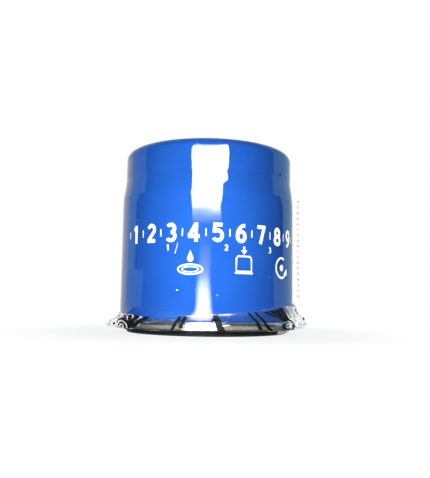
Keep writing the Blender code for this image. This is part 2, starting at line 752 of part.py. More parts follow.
def build_film_tear_strip():
    """The narrow fin of film that runs up the can from the right-hand ear."""
    bottom = FILM_EDGE + FILM_EDGE_RISE + SEAT
    root = CAN_RADIUS + SEAT
    mesh_builder = bmesh.new()
    size = (TEAR_STRIP_WIDTH, FILM_THICKNESS, TEAR_STRIP_HEIGHT)
    centre = (root + TEAR_STRIP_WIDTH / 2, 0.0, bottom + TEAR_STRIP_HEIGHT / 2)
    matrix = Matrix.Translation(centre) @ Matrix.Diagonal((*size, 1.0))
    bmesh.ops.create_cube(mesh_builder, size=1.0, matrix=matrix)
    mesh = bpy.data.meshes.new("film_tear_strip")
    mesh_builder.to_mesh(mesh)
    mesh_builder.free()
    strip = bpy.data.objects.new("film_tear_strip", mesh)
    strip.rotation_euler.z = FILM_EAR_ANGLES[0]
    return strip


def smooth_round_faces(obj):
    """Shade a mesh smooth, with sharp edges kept. A turned profile is smoothed by its modifier."""
    if obj.type != "MESH" or not obj.data.polygons:
        return
    obj.data.shade_smooth()
    obj.data.set_sharp_from_angle(angle=SMOOTH_ANGLE)


def axis_empty(name, height, collection):
    """An empty on the filter's axis, which carries the pieces of one moving group."""
    empty = bpy.data.objects.new(name, None)
    empty.location.z = height
    empty.empty_display_size = CAN_RADIUS / 2
    collection.objects.link(empty)
    return empty


def main():
    """Build every piece, then group the pieces that move together."""
    clear_scene()
    filter_parts = new_collection("oil_filter")
    cutters = new_collection("cutters")

    blue_paint = new_material("blue_paint", (0.022, 0.135, 0.64), 0.22)
    bare_steel = new_material("bare_steel", (0.56, 0.56, 0.54), 0.3, metallic=1.0)
    plate_steel = new_material("plate_steel", (0.42, 0.42, 0.41), 0.45, metallic=1.0)
    cap_steel = new_material("cap_steel", (0.6, 0.6, 0.58), 0.35, metallic=1.0)
    spring_steel = new_material("spring_steel", (0.33, 0.34, 0.36), 0.35, metallic=1.0)
    black_rubber = new_material("black_rubber", (0.012, 0.012, 0.013), 0.55)
    red_rubber = new_material("red_rubber", (0.33, 0.05, 0.03), 0.6)
    paper = new_material("filter_paper", (0.72, 0.55, 0.3), 0.9)
    adhesive = new_material("adhesive", (0.5, 0.12, 0.08), 0.5)
    clear_film = new_material("clear_film", (0.85, 0.86, 0.86), 0.08, alpha=0.25)

    housing = axis_empty("housing", 0.0, filter_parts)
    element = axis_empty("element", LOWER_CAP_BOTTOM, filter_parts)
    bypass = axis_empty("bypass_valve", DISC_BOTTOM, filter_parts)
    element.parent = housing
    bypass.parent = element
    bypass.location.z = DISC_BOTTOM - LOWER_CAP_BOTTOM

    lower_plate = LOWER_CAP_BOTTOM + CAP_SHEET / 2
    upper_plate = UPPER_CAP_BOTTOM + CAP_SHEET / 2
    groups = {
        housing: [
            (build_can(), blue_paint),
            (build_seaming_lid(), bare_steel),
            (build_base_gasket(), black_rubber),
            (build_base_plate(cutters), plate_steel),
            (build_anti_drain_valve(), red_rubber),
            (build_leaf_spring(cutters), spring_steel),
            (build_seal_film(), clear_film),
            (build_film_tear_strip(), clear_film),
        ],
        element: [
            (build_end_cap("lower_end_cap", lower_plate, 1), cap_steel),
            (build_end_cap("upper_end_cap", upper_plate, -1), cap_steel),
            (build_potting("lower_potting", TUBE_BOTTOM, LOWER_POTTING_TOP), adhesive),
            (build_potting("upper_potting", UPPER_POTTING_BOTTOM, TUBE_TOP), adhesive),
            (build_filter_media(), paper),
            (build_media_seam_clip(), cap_steel),
            (build_centre_tube(cutters), cap_steel),
            (build_bypass_cage(cutters), cap_steel),
            (build_bypass_port(), cap_steel),
            (build_bypass_spring(), spring_steel),
        ],
        bypass: [
            (build_bypass_disc(), plate_steel),
            (build_bypass_seal(), black_rubber),
        ],
    }
    bpy.context.view_layer.update()
    for parent, pieces in groups.items():
        for obj, material in pieces:
            place(obj, filter_parts, parent, material)
            obj.matrix_parent_inverse = parent.matrix_world.inverted()
            smooth_round_faces(obj)


main()
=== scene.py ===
"""Looks of a spin-on oil filter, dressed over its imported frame.

The frame is metres, +Z up, with z = 0 on the gasket's sealing face and the camera on the -Y side.
The pieces that show are rebuilt here with smooth sections, threads, print and a shrunk film. The
pieces of the filter element keep their solids and get their finishes.
"""

import logging
import math
from collections.abc import Callable, Sequence
from dataclasses import dataclass, field
from enum import Enum

import bmesh
import bpy
from mathutils import Matrix, Vector, noise


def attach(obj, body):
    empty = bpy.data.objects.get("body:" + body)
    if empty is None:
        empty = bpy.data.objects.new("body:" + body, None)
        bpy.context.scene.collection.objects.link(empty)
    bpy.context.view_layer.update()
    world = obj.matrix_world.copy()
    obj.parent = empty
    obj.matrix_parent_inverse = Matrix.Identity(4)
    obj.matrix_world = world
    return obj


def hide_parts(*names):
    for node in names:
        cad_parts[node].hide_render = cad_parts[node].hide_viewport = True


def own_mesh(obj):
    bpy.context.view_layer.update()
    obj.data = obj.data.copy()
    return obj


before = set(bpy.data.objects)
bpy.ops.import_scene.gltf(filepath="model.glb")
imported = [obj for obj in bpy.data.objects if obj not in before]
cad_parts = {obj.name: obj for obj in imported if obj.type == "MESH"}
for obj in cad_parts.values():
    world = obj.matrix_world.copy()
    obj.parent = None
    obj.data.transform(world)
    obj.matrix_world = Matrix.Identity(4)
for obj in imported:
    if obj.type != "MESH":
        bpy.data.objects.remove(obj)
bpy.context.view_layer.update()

LOG = logging.getLogger("oil_filter")

MM = 0.001
FRONT = math.radians(-90.0)

Point = tuple[float, float]
Corner = tuple[float, float, float]
Place = tuple[float, float, float]
Colour = tuple[float, float, float]
Stretch = tuple[float, float, float]
EVEN: Stretch = (1.0, 1.0, 1.0)
WHITE: Colour = (1.0, 1.0, 1.0)
ALL_SMOOTH = 180.0


class Body(Enum):
    """The rigid bodies that the scene's own pieces ride on."""

    HOUSING = "housing"
    ELEMENT = "element"


class Slot(Enum):
    """The record's material slots that match the scene's own pieces."""

    CAN_PAINT = "can_paint"
    SEAM_STEEL = "seam_steel"
    GASKET_RUBBER = "gasket_rubber"
    PLATE_STEEL = "plate_steel"
    SPRING_STEEL = "spring_steel"
    CLEAR_FILM = "clear_film"


def clamp(value: float) -> float:
    """Hold a value between 0 and 1."""
    return min(max(value, 0.0), 1.0)


def spread(start: float, end: float, steps: int) -> list[float]:
    """Evenly spaced values from start to end, both included."""
    return [start + (end - start) * i / steps for i in range(steps + 1)]


def polar(radius: float, angle: float, height: float) -> Vector:
    """The place at a radius and an angle round the Z axis."""
    return Vector((radius * math.cos(angle), radius * math.sin(angle), height))


class ShaderTree:
    """A material's node tree, with short calls that add and join its nodes."""

    def __init__(self, name: str) -> None:
        """Start a material with a Principled shader.

        Args:
            name: The material's name.
        """
        self.material = bpy.data.materials.new(name)
        self.material.use_nodes = True
        self.nodes = self.material.node_tree.nodes
        self.links = self.material.node_tree.links
        self.shader = self.nodes["Principled BSDF"]
        self.output = self.nodes["Material Output"]

    def set(self, **values: float | Colour) -> None:
        """Set constant values on the Principled shader's own sockets.

        Args:
            values: Socket names in snake case, with the value of each.
        """
        for key, value in values.items():
            socket = self.shader.inputs[key.replace("_", " ").title().replace("Ior", "IOR")]
            socket.default_value = (*value, 1.0) if isinstance(value, tuple) else value

    def add(self, kind: str, **inputs: float | Sequence[float]) -> bpy.types.Node:
        """Add a node.

        Args:
            kind: The node's type name.
            inputs: Socket names in snake case, with the value of each.

        Returns:
            The new node.
        """
        node = self.nodes.new(kind)
        for key, value in inputs.items():
            node.inputs[key.replace("_", " ").title()].default_value = value
        return node

    def join(self, start: bpy.types.NodeSocket, end: bpy.types.NodeSocket) -> None:
        """Link one socket to another."""
        self.links.new(start, end)

    def position(self, stretch: Stretch = EVEN) -> bpy.types.NodeSocket:
        """The place on the object in metres, stretched along each axis.

        Args:
            stretch: How many times closer the pattern lies along x, y and z.

        Returns:
            The vector socket.
        """
        coordinates = self.nodes.new("ShaderNodeTexCoord")
        mapping = self.nodes.new("ShaderNodeMapping")
        mapping.inputs["Scale"].default_value = stretch
        self.join(coordinates.outputs["Object"], mapping.inputs["Vector"])
        return mapping.outputs["Vector"]

    def noise(self, scale: float, detail: float = 3.0, stretch: Stretch = EVEN) -> bpy.types.NodeSocket:
        """A noise pattern on the object.

        Args:
            scale: Spots per metre.
            detail: How many finer layers are added.
            stretch: How many times closer the pattern lies along x, y and z.

        Returns:
            The noise value's socket.
        """
        node = self.add("ShaderNodeTexNoise", scale=scale, detail=detail)
        self.join(self.position(stretch), node.inputs["Vector"])
        return node.outputs["Fac"]

    def facets(self, scale: float, stretch: Stretch = EVEN) -> bpy.types.NodeSocket:
        """A pattern of straight-edged facets on the object, like crumpled film.

        Args:
            scale: Facets per metre.
            stretch: How many times closer the pattern lies along x, y and z.

        Returns:
            The socket of each facet's own value.
        """
        node = self.add("ShaderNodeTexVoronoi", scale=scale)
        self.join(self.position(stretch), node.inputs["Vector"])
        return node.outputs["Color"]

    def wrinkles(self, scale: float, width: float, stretch: Stretch = EVEN) -> bpy.types.NodeSocket:
        """A pattern of thin winding lines on the object, like the wrinkles of gathered film.

        Args:
            scale: The pattern's scale, per metre.
            width: The lines' width, as a share of the noise value.
            stretch: How many times closer the pattern lies along x, y and z.

        Returns:
            A socket that is 1 along the lines and 0 between them.
        """
        value = self.noise(scale, 2.0, stretch)
        rising = self.between(value, 0.0, 1.0, 0.5 - width, 0.5)
        falling = self.between(value, 1.0, 0.0, 0.5, 0.5 + width)
        return self.combine("MINIMUM", rising, falling)

    def attribute(self, name: str) -> bpy.types.NodeSocket:
        """The value that the mesh's points hold under a name.

        Args:
            name: The name.

        Returns:
            The value's socket.
        """
        node = self.nodes.new("ShaderNodeAttribute")
        node.attribute_name = name
        return node.outputs["Fac"]

    def combine(
        self, operation: str, first: bpy.types.NodeSocket, second: bpy.types.NodeSocket
    ) -> bpy.types.NodeSocket:
        """Combine two values by arithmetic.

        Args:
            operation: The operation's name.
            first: The first value.
            second: The second value.

        Returns:
            The result's socket.
        """
        node = self.nodes.new("ShaderNodeMath")
        node.operation = operation
        self.join(first, node.inputs[0])
        self.join(second, node.inputs[1])
        return node.outputs[0]

    def mix(
        self, share: bpy.types.NodeSocket, first: bpy.types.NodeSocket, second: bpy.types.NodeSocket
    ) -> bpy.types.NodeSocket:
        """Mix two shaders.

        Args:
            share: How much of the second shader shows.
            first: The first shader.
            second: The second shader.

        Returns:
            The mixed shader's socket.
        """
        node = self.nodes.new("ShaderNodeMixShader")
        self.join(share, node.inputs["Fac"])
        self.join(first, node.inputs[1])
        self.join(second, node.inputs[2])
        return node.outputs["Shader"]

    def surface(self, shader: bpy.types.NodeSocket) -> None:
        """Make a shader the material's surface."""
        self.join(shader, self.output.inputs["Surface"])

    def between(
        self, value: bpy.types.NodeSocket, low: float, high: float, start: float = 0.35, end: float = 0.65
    ) -> bpy.types.NodeSocket:
        """Spread a noise value over a range of numbers.

        Args:
            value: The noise value.
            low: The number where the noise is at start or below.
            high: The number where the noise is at end or above.
            start: The noise value that gives low.
            end: The noise value that gives high.

        Returns:
            The number's socket.
        """
        node = self.nodes.new("ShaderNodeMapRange")
        node.inputs["From Min"].default_value = start
        node.inputs["From Max"].default_value = end
        node.inputs["To Min"].default_value = low
        node.inputs["To Max"].default_value = high
        self.join(value, node.inputs["Value"])
        return node.outputs["Result"]

    def tint(
        self,
        value: bpy.types.NodeSocket,
        first: Colour,
        second: Colour,
        start: float = 0.35,
        end: float = 0.65,
    ) -> bpy.types.NodeSocket:
        """Blend two colours by a noise value.

        Args:
            value: The noise value.
            first: The colour at start or below.
            second: The colour at end or above.
            start: The noise value that gives the first colour.
            end: The noise value that gives the second colour.

        Returns:
            The colour's socket.
        """
        node = self.nodes.new("ShaderNodeValToRGB")
        node.color_ramp.elements[0].position = start
        node.color_ramp.elements[0].color = (*first, 1.0)
        node.color_ramp.elements[1].position = end
        node.color_ramp.elements[1].color = (*second, 1.0)
        self.join(value, node.inputs["Fac"])
        return node.outputs["Color"]

    def colour(self, socket: bpy.types.NodeSocket) -> None:
        """Give the shader its base colour."""
        self.join(socket, self.shader.inputs["Base Color"])

    def roughness(self, socket: bpy.types.NodeSocket) -> None:
        """Give the shader its roughness."""
        self.join(socket, self.shader.inputs["Roughness"])

    def bump(self, height: bpy.types.NodeSocket, strength: float, depth: float) -> None:
        """Raise the surface by a height pattern.

        Args:
            height: The pattern's socket.
            strength: How much of the relief shows, from 0 to 1.
            depth: The relief's depth in metres.
        """
        node = self.add("ShaderNodeBump", strength=strength, distance=depth)
        previous = self.shader.inputs["Normal"]
        if previous.is_linked:
            self.join(previous.links[0].from_socket, node.inputs["Normal"])
        self.join(height, node.inputs["Height"])
        self.join(node.outputs["Normal"], previous)


@dataclass(frozen=True)
class GlossPaint:
    """Sprayed gloss paint on drawn steel, with a faint orange peel and slow shape errors."""

    colour: Colour = (0.026, 0.178, 0.83)
    deep: Colour = (0.023, 0.16, 0.78)

    def material(self) -> bpy.types.Material:
        """Build the paint's material."""
        tree = ShaderTree("gloss_blue_paint")
        tree.set(specular_ior_level=0.0, coat_weight=1.0, coat_roughness=0.025, coat_ior=1.42)
        tree.colour(tree.tint(tree.noise(55.0, 4.0), self.colour, self.deep))
        tree.roughness(tree.between(tree.noise(240.0, 5.0), 0.13, 0.24))
        tree.bump(tree.noise(75.0, 1.0), 0.10, 0.0004)
        tree.bump(tree.noise(900.0, 2.0), 0.05, 0.00008)
        tree.join(tree.shader.inputs["Normal"].links[0].from_socket, tree.shader.inputs["Coat Normal"])
        return tree.material


class SteelGrade(Enum):
    """The kinds of steel in the filter, as light colour, dark colour, smooth and rough ends."""

    SEAM = ((0.74, 0.74, 0.71), (0.62, 0.62, 0.58), 0.12, 0.26)
    PLATE = ((0.46, 0.46, 0.44), (0.36, 0.36, 0.35), 0.34, 0.52)
    CAP = ((0.68, 0.68, 0.65), (0.55, 0.55, 0.52), 0.26, 0.42)
    SPRING = ((0.36, 0.37, 0.39), (0.24, 0.25, 0.27), 0.26, 0.4)


@dataclass(frozen=True)
class RolledSteel:
    """Bare steel with fine lines round the axis, as rolling and drawing leave them."""

    grade: SteelGrade

    def material(self) -> bpy.types.Material:
        """Build the steel's material."""
        light, dark, smooth, rough = self.grade.value
        tree = ShaderTree(f"{self.grade.name.lower()}_steel")
        tree.set(metallic=1.0)
        tree.colour(tree.tint(tree.noise(90.0, 5.0, (1.0, 1.0, 3.0)), light, dark))
        lines = tree.noise(60.0, 4.0, (1.0, 1.0, 60.0))
        tree.roughness(tree.between(lines, smooth, rough))
        tree.bump(lines, 0.12, 0.00004)
        tree.bump(tree.noise(420.0, 3.0), 0.06, 0.00005)
        return tree.material


@dataclass(frozen=True)
class MouldedRubber:
    """Moulded rubber, with fine grain and a dusting of mould powder."""

    name: str
    colour: Colour
    dusted: Colour

    def material(self) -> bpy.types.Material:
        """Build the rubber's material."""
        tree = ShaderTree(self.name)
        tree.set(specular_ior_level=0.2)
        tree.colour(tree.tint(tree.noise(160.0, 6.0), self.colour, self.dusted, 0.42, 0.78))
        tree.roughness(tree.between(tree.noise(300.0, 4.0), 0.42, 0.66))
        tree.bump(tree.noise(1800.0, 3.0), 0.18, 0.00006)
        return tree.material


@dataclass(frozen=True)
class PleatPaper:
    """Resin-treated filter paper with visible fibres."""

    light: Colour = (0.74, 0.56, 0.31)
    dark: Colour = (0.6, 0.42, 0.2)

    def material(self) -> bpy.types.Material:
        """Build the paper's material."""
        tree = ShaderTree("filter_paper")
        fibres = tree.noise(700.0, 6.0, (1.0, 1.0, 0.35))
        tree.colour(tree.tint(fibres, self.light, self.dark))
        tree.roughness(tree.between(fibres, 0.8, 0.95))
        tree.bump(fibres, 0.35, 0.00012)
        return tree.material


@dataclass(frozen=True)
class CuredAdhesive:
    """Glossy cured adhesive with slow flow marks."""

    light: Colour = (0.55, 0.13, 0.08)
    dark: Colour = (0.38, 0.07, 0.04)

    def material(self) -> bpy.types.Material:
        """Build the adhesive's material."""
        tree = ShaderTree("cured_adhesive")
        flow = tree.noise(220.0, 4.0)
        tree.colour(tree.tint(flow, self.light, self.dark))
        tree.roughness(tree.between(flow, 0.22, 0.45))
        tree.bump(flow, 0.3, 0.0002)
        return tree.material


@dataclass(frozen=True)
class Ink:
    """A thin layer of printing ink, a little uneven."""

    name: str
    full: Colour
    worn: Colour

    def material(self) -> bpy.types.Material:
        """Build the ink's material."""
        tree = ShaderTree(self.name)
        tree.set(specular_ior_level=0.1)
        tree.colour(tree.tint(tree.noise(900.0, 4.0), self.full, self.worn, 0.5, 0.8))
        tree.roughness(tree.between(tree.noise(500.0, 3.0), 0.45, 0.65))
        return tree.material


@dataclass(frozen=True)
class ClearFilm:
    """Clear shrunk film: nearly unseen face on, glossy edge on, milky where it is crumpled, with painted
    glint lines and a painted shade where it stands off the can.
    """

    face_gloss: float = 0.022
    edge_gloss: float = 0.4
    haze: float = 0.006
    crumpled_haze: float = 0.85
    # Painted shade: the tint of what shows through the film above the seam.
    painted_shade: Colour = (0.85, 0.79, 0.73)

    def material(self) -> bpy.types.Material:
        """Build the film's material. The mesh's crumple says where it is milky, painted glints included, and
        its painted shade says where the film darkens what is behind it.
        """
        tree = ShaderTree("clear_shrunk_film")
        tree.set(base_color=(0.9, 0.91, 0.9), specular_ior_level=0.3)
        tree.roughness(tree.between(tree.noise(350.0, 3.0), 0.25, 0.45))
        relief = tree.add("ShaderNodeBump", strength=0.3, distance=0.0003)
        tree.join(tree.noise(420.0, 3.0, (1.0, 1.0, 0.5)), relief.inputs["Height"])
        clear = tree.add("ShaderNodeBsdfTransparent")
        # Painted shade: the clear part is tinted darker above the seam, by the mesh's painted shade.
        dimmed = tree.tint(tree.attribute("painted_shade"), WHITE, self.painted_shade, 0.0, 1.0)
        tree.join(dimmed, clear.inputs["Color"])
        gloss = tree.add("ShaderNodeBsdfGlossy", roughness=0.09)
        weight = tree.add("ShaderNodeLayerWeight", blend=0.3)
        for node in (tree.shader, gloss, weight):
            tree.join(relief.outputs["Normal"], node.inputs["Normal"])
        shine = tree.between(weight.outputs["Facing"], self.face_gloss, self.edge_gloss, 0.45, 1.0)
        shiny = tree.mix(shine, clear.outputs["BSDF"], gloss.outputs["BSDF"])
        facets = tree.between(tree.facets(430.0, (1.0, 1.0, 0.3)), 0.12, 0.85, 0.2, 0.8)
        folds = tree.combine("MAXIMUM", facets, tree.wrinkles(240.0, 0.035, (1.0, 1.0, 0.28)))
        # The crumple attribute also holds the painted glint lines and the edge's painted highlight, which
        # show here as white haze.
        patchy = tree.combine("MULTIPLY", tree.attribute("crumple"), folds)
        haze = tree.between(patchy, self.haze, self.crumpled_haze, 0.0, 1.0)
        tree.surface(tree.mix(haze, shiny, tree.shader.outputs["BSDF"]))
        return tree.material


def link_mesh(name: str, builder: bmesh.types.BMesh, sharp_degrees: float = 35.0) -> bpy.types.Object:
    """Turn a mesh under construction into a smooth-shaded object in the scene.

    Args:
        name: The object's name.
        builder: The mesh, which is freed.
        sharp_degrees: Edges that bend more than this stay sharp.

    Returns:
        The new object.
    """
    mesh = bpy.data.meshes.new(name)
    builder.to_mesh(mesh)
    builder.free()
    mesh.shade_smooth()
    mesh.set_sharp_from_angle(angle=math.radians(sharp_degrees))
    piece = bpy.data.objects.new(name, mesh)
    bpy.context.scene.collection.objects.link(piece)
    return piece


def stitch(
    builder: bmesh.types.BMesh,
    lines: Sequence[Sequence[bmesh.types.BMVert]],
    closed: bool = False,
    looped: bool = False,
) -> None:
    """Join neighbouring lines of points with faces.

    Args:
        builder: The mesh that takes the faces.
        lines: The lines, with as many points in each.
        closed: Whether the last line joins the first.
        looped: Whether the last point of each line joins its first.
    """
    neighbours = [*lines[1:], lines[0]] if closed else lines[1:]
    for line, following in zip(lines, neighbours):
        for j in range(len(line) if looped else len(line) - 1):
            k = (j + 1) % len(line)
            builder.faces.new((line[j], following[j], following[k], line[k]))


def fillet(corners: Sequence[Corner], steps: int = 5) -> list[Point]:
    """Round the corners of a path in the (r, z) plane.

    Args:
        corners: Points as r, z and the radius of the corner there.
        steps: Segments in each rounded corner.

    Returns:
        The path's points.
    """
    path: list[Point] = [corners[0][:2]]
    for before, corner, after in zip(corners, corners[1:], corners[2:]):
        here = Vector(corner[:2])
        back = Vector(before[:2]) - here
        onward = Vector(after[:2]) - here
        reach = back.normalized().angle(onward.normalized())
        cut = min(corner[2] / math.tan(reach / 2), 0.49 * back.length, 0.49 * onward.length)
        start = here + back.normalized() * cut
        end = here + onward.normalized() * cut
        for i in range(steps + 1):
            t = i / steps
            path.append(tuple(start * (1 - t) ** 2 + here * 2 * t * (1 - t) + end * t**2))
    path.append(corners[-1][:2])
    return path


def sheet_section(path: Sequence[Point], thickness: float) -> list[Point]:
    """The closed outline of a sheet whose middle follows a path.

    Args:
        path: The middle line in the (r, z) plane.
        thickness: The sheet's thickness.

    Returns:
        The outline, out along one side and back along the other.
    """
    points = [Vector(p) for p in path]
    sides: tuple[list[Point], list[Point]] = ([], [])
    for i, point in enumerate(points):
        before = (point - points[max(i - 1, 0)]).normalized()
        after = (points[min(i + 1, len(points) - 1)] - point).normalized()
        along = (before + after).normalized()
        normal = Vector((along.y, -along.x))
        half = thickness / 2
        sides[0].append(tuple(point + normal * half))
        sides[1].append(tuple(point - normal * half))
    return sides[0] + sides[1][::-1]


def ring_loft(
    name: str, sections: Sequence[tuple[float, Sequence[Point]]], sharp_degrees: float = 35.0
) -> bpy.types.Object:
    """Join closed outlines that stand round the Z axis.

    Args:
        name: The piece's name.
        sections: The angle of each outline, and its points in the (r, z) plane, as many in each.
        sharp_degrees: Edges that bend more than this stay sharp.

    Returns:
        The closed piece.
    """
    builder = bmesh.new()
    rings = []
    for angle, outline in sections:
        rings.append([builder.verts.new(polar(max(r, 0.0), angle, z)) for r, z in outline])
    outline = sections[0][1]
    for ring, following in zip(rings, rings[1:] + rings[:1]):
        for j in range(len(outline)):
            k = (j + 1) % len(outline)
            if outline[j][0] <= 0 and outline[k][0] <= 0:
                continue
            builder.faces.new((ring[j], ring[k], following[k], following[j]))
    bmesh.ops.remove_doubles(builder, verts=builder.verts, dist=1e-7)
    bmesh.ops.recalc_face_normals(builder, faces=builder.faces)
    return link_mesh(name, builder, sharp_degrees)


def lathe(
    name: str, outline: Sequence[Point], steps: int, sharp_degrees: float = 35.0
) -> bpy.types.Object:
    """Turn a closed outline in the (r, z) plane round the Z axis.

    Args:
        name: The piece's name.
        outline: The outline's points, with no point left of the axis.
        steps: Segments round the axis.
        sharp_degrees: Edges that bend more than this stay sharp.

    Returns:
        The turned piece.
    """
    sections = [(math.tau * i / steps, outline) for i in range(steps)]
    return ring_loft(name, sections, sharp_degrees)


def grid_sheet(
    name: str,
    surface: Callable[[float, float], Vector],
    columns: Sequence[float],
    rows: Sequence[float],
    closed: bool = False,
) -> bpy.types.Object:
    """A sheet from a surface formula.

    Args:
        name: The piece's name.
        surface: Gives the place of each (column, row) value.
        columns: The values across the sheet.
        rows: The values up the sheet.
        closed: Whether the last column joins the first.

    Returns:
        The sheet.
    """
    builder = bmesh.new()
    lines = [[builder.verts.new(surface(u, v)) for v in rows] for u in columns]
    stitch(builder, lines, closed)
    return link_mesh(name, builder, ALL_SMOOTH)


def dress(
    piece: bpy.types.Object, finish: bpy.types.Material, body: Body, slot: Slot | None = None, *nodes: str
) -> None:
    """Give a piece its material and body, and hide the nodes of the frame that it stands for.

    Args:
        piece: The piece.
        finish: Its material.
        body: The body that it rides on.
        slot: Not used. The record's material slot, or none for print, which the record has no slot for.
        nodes: The nodes of the frame that it replaces.
    """
    piece.data.materials.clear()
    piece.data.materials.append(finish)
    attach(piece, body.value)
    if nodes:
        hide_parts(*nodes)
    LOG.info("%s: %d faces", piece.name, len(piece.data.polygons))


@dataclass
class CanShell:
    """The painted can, from the crown down to the hook inside the seam. Sizes in metres."""

    radius: float = 34.0 * MM
    neck_radius: float = 33.0 * MM
    mouth_radius: float = 33.2 * MM
    wall: float = 0.5 * MM
    shoulder_height: float = 70.0 * MM
    shoulder_radius: float = 2.8 * MM
    shoulder_turn: float = 86.0
    first_facet: float = 12.0
    crown_rise: float = 1.0 * MM
    step_top: float = 58.5 * MM
    step_bottom: float = 51.0 * MM
    tuck_radius: float = 33.75 * MM
    draw_top: float = 9.0 * MM
    draw_bottom: float = 5.75 * MM
    hook_bottom: float = 4.2 * MM
    ring_match: float = 0.04 * MM
    steps: int = 160

    def middle_path(self) -> list[Point]:
        """The middle line of the can's wall, from the axis to the hook.

        Returns:
            Points in the (r, z) plane.
        """
        half = self.wall / 2
        flat = self.neck_radius - self.shoulder_radius
        path: list[Point] = []
        for share in spread(0.0, 1.0, 10):
            path.append((flat * share, self.shoulder_height + self.crown_rise * (1 - share**2) - half))
        centre = self.shoulder_height - self.shoulder_radius
        reach = self.shoulder_radius - half
        for angle in (*spread(self.shoulder_turn, self.first_facet, 8), 0.0):
            turn = math.radians(angle)
            path.append((flat + reach * math.cos(turn), centre + reach * math.sin(turn)))
        neck = (centre - 0.4 * MM, centre - 3 * MM, self.step_top + 3 * MM, self.step_top + 0.05 * MM)
        path += [(self.neck_radius - half, height) for height in neck]
        for share in (0.0, 0.01, *spread(0.08, 0.92, 10), 0.99, 1.0):
            eased = 0.9 * share + 0.05 * (1 - math.cos(math.pi * share))
            bulge = self.neck_radius + (self.radius - self.neck_radius) * eased
            path.append((bulge - half, self.step_top + (self.step_bottom - self.step_top) * share))
        body = spread(self.step_bottom - 0.1 * MM, self.draw_top + 0.5 * MM, 8)
        path += [(self.radius - half, height) for height in body]
        for share in spread(0.0, 1.0, 8):
            drawn = self.radius + (self.tuck_radius - self.radius) * share**2
            path.append((drawn - half, self.draw_top + (self.draw_bottom - self.draw_top) * share))
        tuck = [
            (*path.pop(), 0.0),
            (self.tuck_radius - 0.6 * half, self.draw_bottom - 0.12 * MM, 0.1 * MM),
            (self.mouth_radius - half, self.draw_bottom - 0.4 * MM, 0.15 * MM),
            (self.mouth_radius - half, self.hook_bottom, 0.0),
        ]
        return path + fillet(tuck, 4)

    def on_crease(self, place: Vector) -> bool:
        """Whether a point is on the outer ring where the step ends or the shoulder starts.

        Args:
            place: The point.

        Returns:
            True on one of the two rings.
        """
        rings = (
            (self.radius, self.step_bottom),
            (self.neck_radius, self.shoulder_height - self.shoulder_radius),
        )
        reach = place.xy.length + self.wall / 2
        return any(abs(place.z - height) < self.ring_match and reach > radius for radius, height in rings)

    def build(self, paint: bpy.types.Material) -> None:
        """Build and dress the can.

        Args:
            paint: The can's finish.
        """
        outline = sheet_section(self.middle_path(), self.wall)
        piece = lathe("can_shell", outline, self.steps, 50.0)
        vertices = piece.data.vertices
        for edge in piece.data.edges:
            if all(self.on_crease(vertices[i].co) for i in edge.vertices):
                edge.use_edge_sharp = True
        dress(piece, paint, Body.HOUSING, Slot.CAN_PAINT, "can")


@dataclass
class RolledSeam:
    """The seaming lid: its rolled outer band, the gasket channel and the inner flange."""

    sheet: float = 0.4 * MM
    top: float = 5.1 * MM
    bottom: float = 1.9 * MM
    wall_middle: float = 34.85 * MM
    hook_middle: float = 33.65 * MM
    chuck_middle: float = 32.45 * MM
    flange_middle: float = 26.8 * MM
    channel_floor: float = 5.9 * MM
    flange_bottom: float = 3.1 * MM
    roll_rise: float = 1.1 * MM
    roll_depth: float = 0.85 * MM
    roll_turn: float = 84.0
    wall_supports: Point = (0.75 * MM, 0.1 * MM)
    hook_length: float = 1.4 * MM
    steps: int = 160

    def roll(self) -> list[Corner]:
        """The rounded top of the band, from its upright wall to where the hook turns down.

        Returns:
            Corners in the (r, z) plane, none of them filleted.
        """
        top = self.top - self.sheet / 2
        start = top - self.roll_rise
        corners = [(self.wall_middle, start - drop, 0.0) for drop in self.wall_supports]
        for angle in spread(0.0, self.roll_turn, 12):
            turn = math.radians(angle)
            radius = self.wall_middle - self.roll_depth * (1 - math.cos(turn))
            corners.append((radius, top - self.roll_rise * (1 - math.sin(turn)), 0.0))
        return corners

    def build(self, steel: bpy.types.Material) -> None:
        """Build and dress the lid.

        Args:
            steel: The lid's finish.
        """
        half = self.sheet / 2
        corners = [
            (self.flange_middle, self.flange_bottom, 0.0),
            (self.flange_middle, self.channel_floor, 0.7 * MM),
            (self.chuck_middle, self.channel_floor, 0.7 * MM),
            (self.chuck_middle, self.bottom + half, 0.45 * MM),
            (self.wall_middle, self.bottom + half, 0.8 * MM),
            *self.roll(),
            (self.hook_middle, self.top - half, 0.3 * MM),
            (self.hook_middle, self.top - self.hook_length, 0.0),
        ]
        piece = lathe("rolled_seam", sheet_section(fillet(corners), self.sheet), self.steps)
        dress(piece, steel, Body.HOUSING, Slot.SEAM_STEEL, "seaming_lid")


@dataclass
class BaseGasket:
    """The rubber ring that seals on the engine, with rounded lips and a moulding line."""

    outer: float = 31.2 * MM
    inner: float = 27.3 * MM
    height: float = 5.4 * MM
    corner: float = 0.45 * MM
    line_height: float = 1.0 * MM
    line_half: float = 0.1 * MM
    line_rise: float = 0.06 * MM
    steps: int = 144

    def build(self, rubber: bpy.types.Material) -> None:
        """Build and dress the gasket.

        Args:
            rubber: The gasket's finish.
        """
        middle = (self.inner + self.outer) / 2
        corners = [
            (middle, 0.0, 0.0),
            (self.outer, 0.0, self.corner),
            (self.outer, self.line_height - self.line_half, 0.05 * MM),
            (self.outer + self.line_rise, self.line_height, 0.03 * MM),
            (self.outer, self.line_height + self.line_half, 0.05 * MM),
            (self.outer, self.height, 0.2 * MM),
            (self.inner, self.height, 0.2 * MM),
            (self.inner, 0.0, self.corner),
            (middle, 0.0, 0.0),
        ]
        piece = lathe("gasket_ring", fillet(corners, 4)[:-1], self.steps)
        dress(piece, rubber, Body.HOUSING, Slot.GASKET_RUBBER, "base_gasket")


